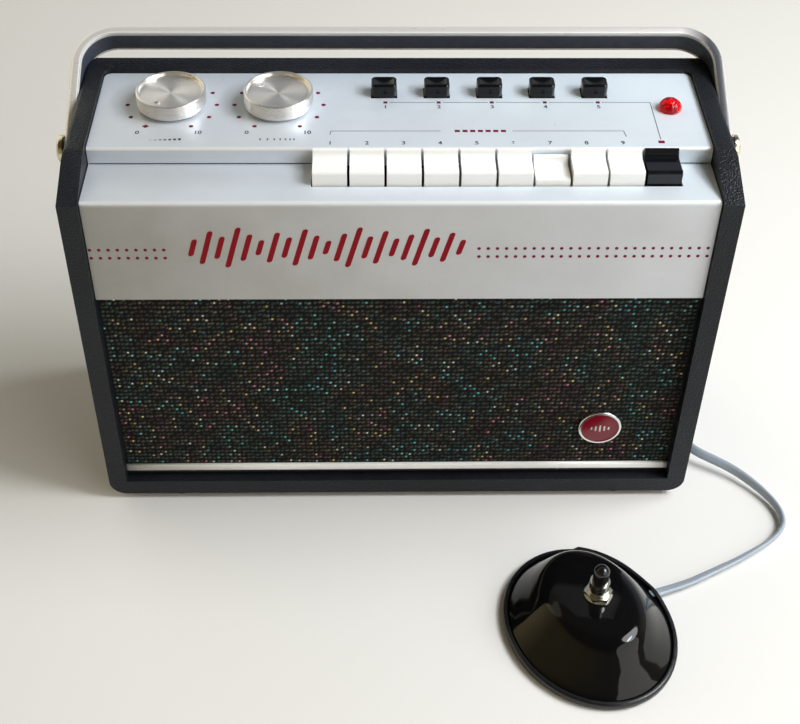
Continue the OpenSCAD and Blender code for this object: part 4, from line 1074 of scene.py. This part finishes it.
def add_tie(material):
    """A strap round the coil's bundle, on the side nearest the cabinet."""
    half_w = COIL_ACROSS + TIE_ROOM
    low, high = 0.05, COIL_LOW + 3 * COIL_LAYERS + CORD_T / 2 + TIE_ROOM
    middle, tall = (low + high) / 2, (high - low) / 2
    angles = [tau * k / TIE_SIDES for k in range(TIE_SIDES)]
    points = [at(COIL_MIDDLE[0] + x,
                 COIL_MIDDLE[1] - COIL_R + (half_w + thick) * cos(a) * 0.98,
                 max(0.02, middle + (tall + thick) * sin(a)))
              for x in (-TIE_HALF, TIE_HALF) for thick in (0, TIE_T) for a in angles]
    faces = strips(((0, 1), (1, 3), (3, 2), (2, 0)), TIE_SIDES)
    return new_piece("cord_tie", mesh_from("cord_tie", points, faces), material, smooth=True)


# ---- studio ----

FLOOR_HALF = 6  # metres
FLOOR_Z = -0.0006


def add_floor():
    a, z = FLOOR_HALF, FLOOR_Z
    mesh = mesh_from("floor", [(-a, -a, z), (a, -a, z), (a, a, z), (-a, a, z)], [(0, 1, 2, 3)])
    s = Shader("table_top", (0.84, 0.81, 0.75), 0.7, Specular_IOR_Level=0.2)
    s.put("Base Color", s.mix(s.noise(3, 3), (0.82, 0.8, 0.765), (0.84, 0.824, 0.795)))
    mesh.materials.append(s.material)
    placed("floor", mesh)


# The walls' tints, which are multiplied: by height (0 the horizon, 1 straight up), by depth
# (0 and less on the camera's side, 1 straight behind the object) and to the left
BY_HEIGHT = ((0, (1, 1, 1)), (0.42, (0.8, 0.8, 0.8)), (0.62, (0.18, 0.18, 0.18)))
BY_DEPTH = ((0, (0.2, 0.175, 0.125)), (0.3, (0.46, 0.41, 0.32)), (0.8, (0.5, 0.54, 0.6)))
BY_SIDE = ((0, (0.4, 0.405, 0.42)), (0.45, (0.74, 0.69, 0.54)), (0.9, (1, 0.91, 0.6)))
WORLD_STRENGTH = 2.5


def add_world():
    """A studio's walls: pale near the floor, darker above and in front, warm on the left."""
    world = bpy.data.worlds.new("studio")
    scene.world = world
    world.use_nodes = True
    s = Nodes(world.node_tree, "Generated")
    way = s.split(s.place)
    tint = s.ramp(way["Z"], *BY_HEIGHT)
    tint = s.filtered(tint, s.ramp(way["Y"], *BY_DEPTH))
    tint = s.filtered(tint, s.ramp(s.times(way["X"], -1), *BY_SIDE))
    background = s.tree.nodes["Background"]
    s.set(background, "Color", tint)
    s.set(background, "Strength", WORLD_STRENGTH)


# A broad window light from the right, a second in front of it, a small bright one that
# glints in the foot switch, and a soft fill: name, place, size, watts, colour
LAMPS = (("window", (1.35, 0, 1.65), (1.3, 1.2), 37, (0.94, 0.975, 1)),
         ("right_front", (1.3, -1, 0.85), (2, 1.6), 15, (1, 0.99, 0.96)),
         ("glint", (0.73, -0.2, 0.8), (0.3, 0.1), 2.4, (0.93, 0.96, 1)),
         ("left_back", (-1.4, 1.2, 1.3), (2.4, 2), 7.5, (1, 0.95, 0.82)))
LAMP_AIM = Vector((0, 0, 0.1))


def add_lights():
    for name, place, size, power, colour in LAMPS:
        data = bpy.data.lights.new(name, "AREA")
        data.shape = "ELLIPSE"
        data.size, data.size_y = size
        data.energy = power
        data.color = colour
        lamp = placed(name, data)
        lamp.location = place
        lamp.rotation_euler = (LAMP_AIM - Vector(place)).to_track_quat("-Z", "Y").to_euler()


# ---- putting it together ----

def dress_cabinet():
    dress("cabinet_shell", covering(), 0.6, 3)
    dress("back_panel", painted_board("hardboard", (0.035, 0.03, 0.026)))
    dress("baffle_board", painted_board("baffle_stain", (0.02, 0.02, 0.02)))
    dress("feet", moulded("foot_rubber", (0.018, 0.018, 0.018), 0.7), 0.5)
    dress("grille_cloth", cloth_weave())
    add_trim(bright_metal("trim_metal", (0.97, 0.96, 0.94), 0.3, 0.08, 0.15))
    dress("badge_rim", bright_metal("badge_chrome", (0.8, 0.8, 0.8), 0.12))
    dress("badge_face", moulded("badge_red", (0.2, 0.004, 0.014), 0.14, 0.05))


def dress_fascia():
    sheet = satin_sheet("satin_sheet", (0.75, 0.785, 0.84))
    dress(["control_deck", "front_panel"], sheet, 0.15)
    aluminium = spun_aluminium()
    for name in KNOB_NAMES:
        add_knob(name, aluminium)
    steel = bright_metal("plated_steel", (0.6, 0.6, 0.58), 0.3)
    dress(["volume_shaft", "tempo_shaft", "lamp_holder", "line_jack", "foot_jack",
           "volume_control", "tempo_control", "back_screws"], steel)
    gloss = moulded("pad_black", (0.003, 0.0034, 0.0042), 0.16, 0.1, Specular_IOR_Level=0.34)
    for i in range(1, 6):
        add_pad(i, gloss)
    dress([f"key_{i}" for i in range(1, 10)], ivory(), 0.45, 3)
    dress("key_10", moulded("key_black", (0.005, 0.0055, 0.0075), 0.13, 0.05), 0.45, 3)
    laminate = painted_board("laminate", (0.16, 0.09, 0.04))
    dress(["pad_switches", "key_switch_bank", "circuit_board"], laminate)
    add_lens(lamp_red())


def dress_handle():
    # The chrome and the lip's metal both carry the painted dark reflection on the right leg
    chrome = bright_metal("handle_chrome", (0.91, 0.875, 0.86), 0.32, 0.2, 0.45, True)
    slate = moulded("liner_slate", (0.045, 0.056, 0.08), 0.55)
    dress("handle", chrome, split=40)
    dress("handle_liner", slate)
    # The lip's metal is a painted highlight: a whiter copy of the chrome
    add_bail(chrome, bright_metal("handle_edge_highlight", (0.98, 0.98, 0.97), 0.3, 0.1, 0.1, True), slate)
    dress("pivot_bosses", bright_metal("boss_brass", (0.75, 0.68, 0.5), 0.2))


def dress_inside():
    dress("speaker_frame", moulded("grey_enamel", (0.1, 0.105, 0.11), 0.4))
    dress("speaker_cone", painted_board("paper_pulp", (0.03, 0.028, 0.025)))
    dress(["speaker_magnet", "transformer"], magnet_plate())
    dress(["mains_inlet", "foot_switch_body", "cord_plug"],
          moulded("black_moulding", (0.016, 0.016, 0.017), 0.4), 0.2)


def dress_foot_switch():
    dress("foot_shell", enamel(), split=60)
    dress("foot_edging", moulded("edging_rubber", (0.006, 0.0065, 0.0085), 0.3), split=60)
    dress("foot_base", moulded("base_paint", (0.07, 0.07, 0.065), 0.5))
    dress("foot_bush", bright_metal("nickel", (0.78, 0.75, 0.66), 0.2))
    dress("foot_plunger", moulded("plunger_black", (0.008, 0.008, 0.009), 0.12, 0.05))


scene.view_settings.view_transform = "Standard"
add_camera()
add_floor()
add_world()
add_lights()
dress_cabinet()
dress_fascia()
dress_handle()
dress_inside()
dress_foot_switch()
maroon = print_ink("maroon_ink", (0.16, 0.008, 0.03))
crimson = print_ink("crimson_ink", (0.24, 0.002, 0.009))
grey_ink = print_ink("grey_ink", (0.06, 0.062, 0.075))
print_deck(maroon, grey_ink)
print_face(maroon)
# A painted shadow in the gap at the riser's foot, in dark ink
add_riser_seam(print_ink("gap_shadow_ink", (0.02, 0.021, 0.024)))
print_ornament(crimson)
badge_motif(bright_metal("motif_silver", (0.7, 0.68, 0.66), 0.25))
add_cord(cord_skin(), moulded("tie_rubber", (0.02, 0.02, 0.02), 0.6))
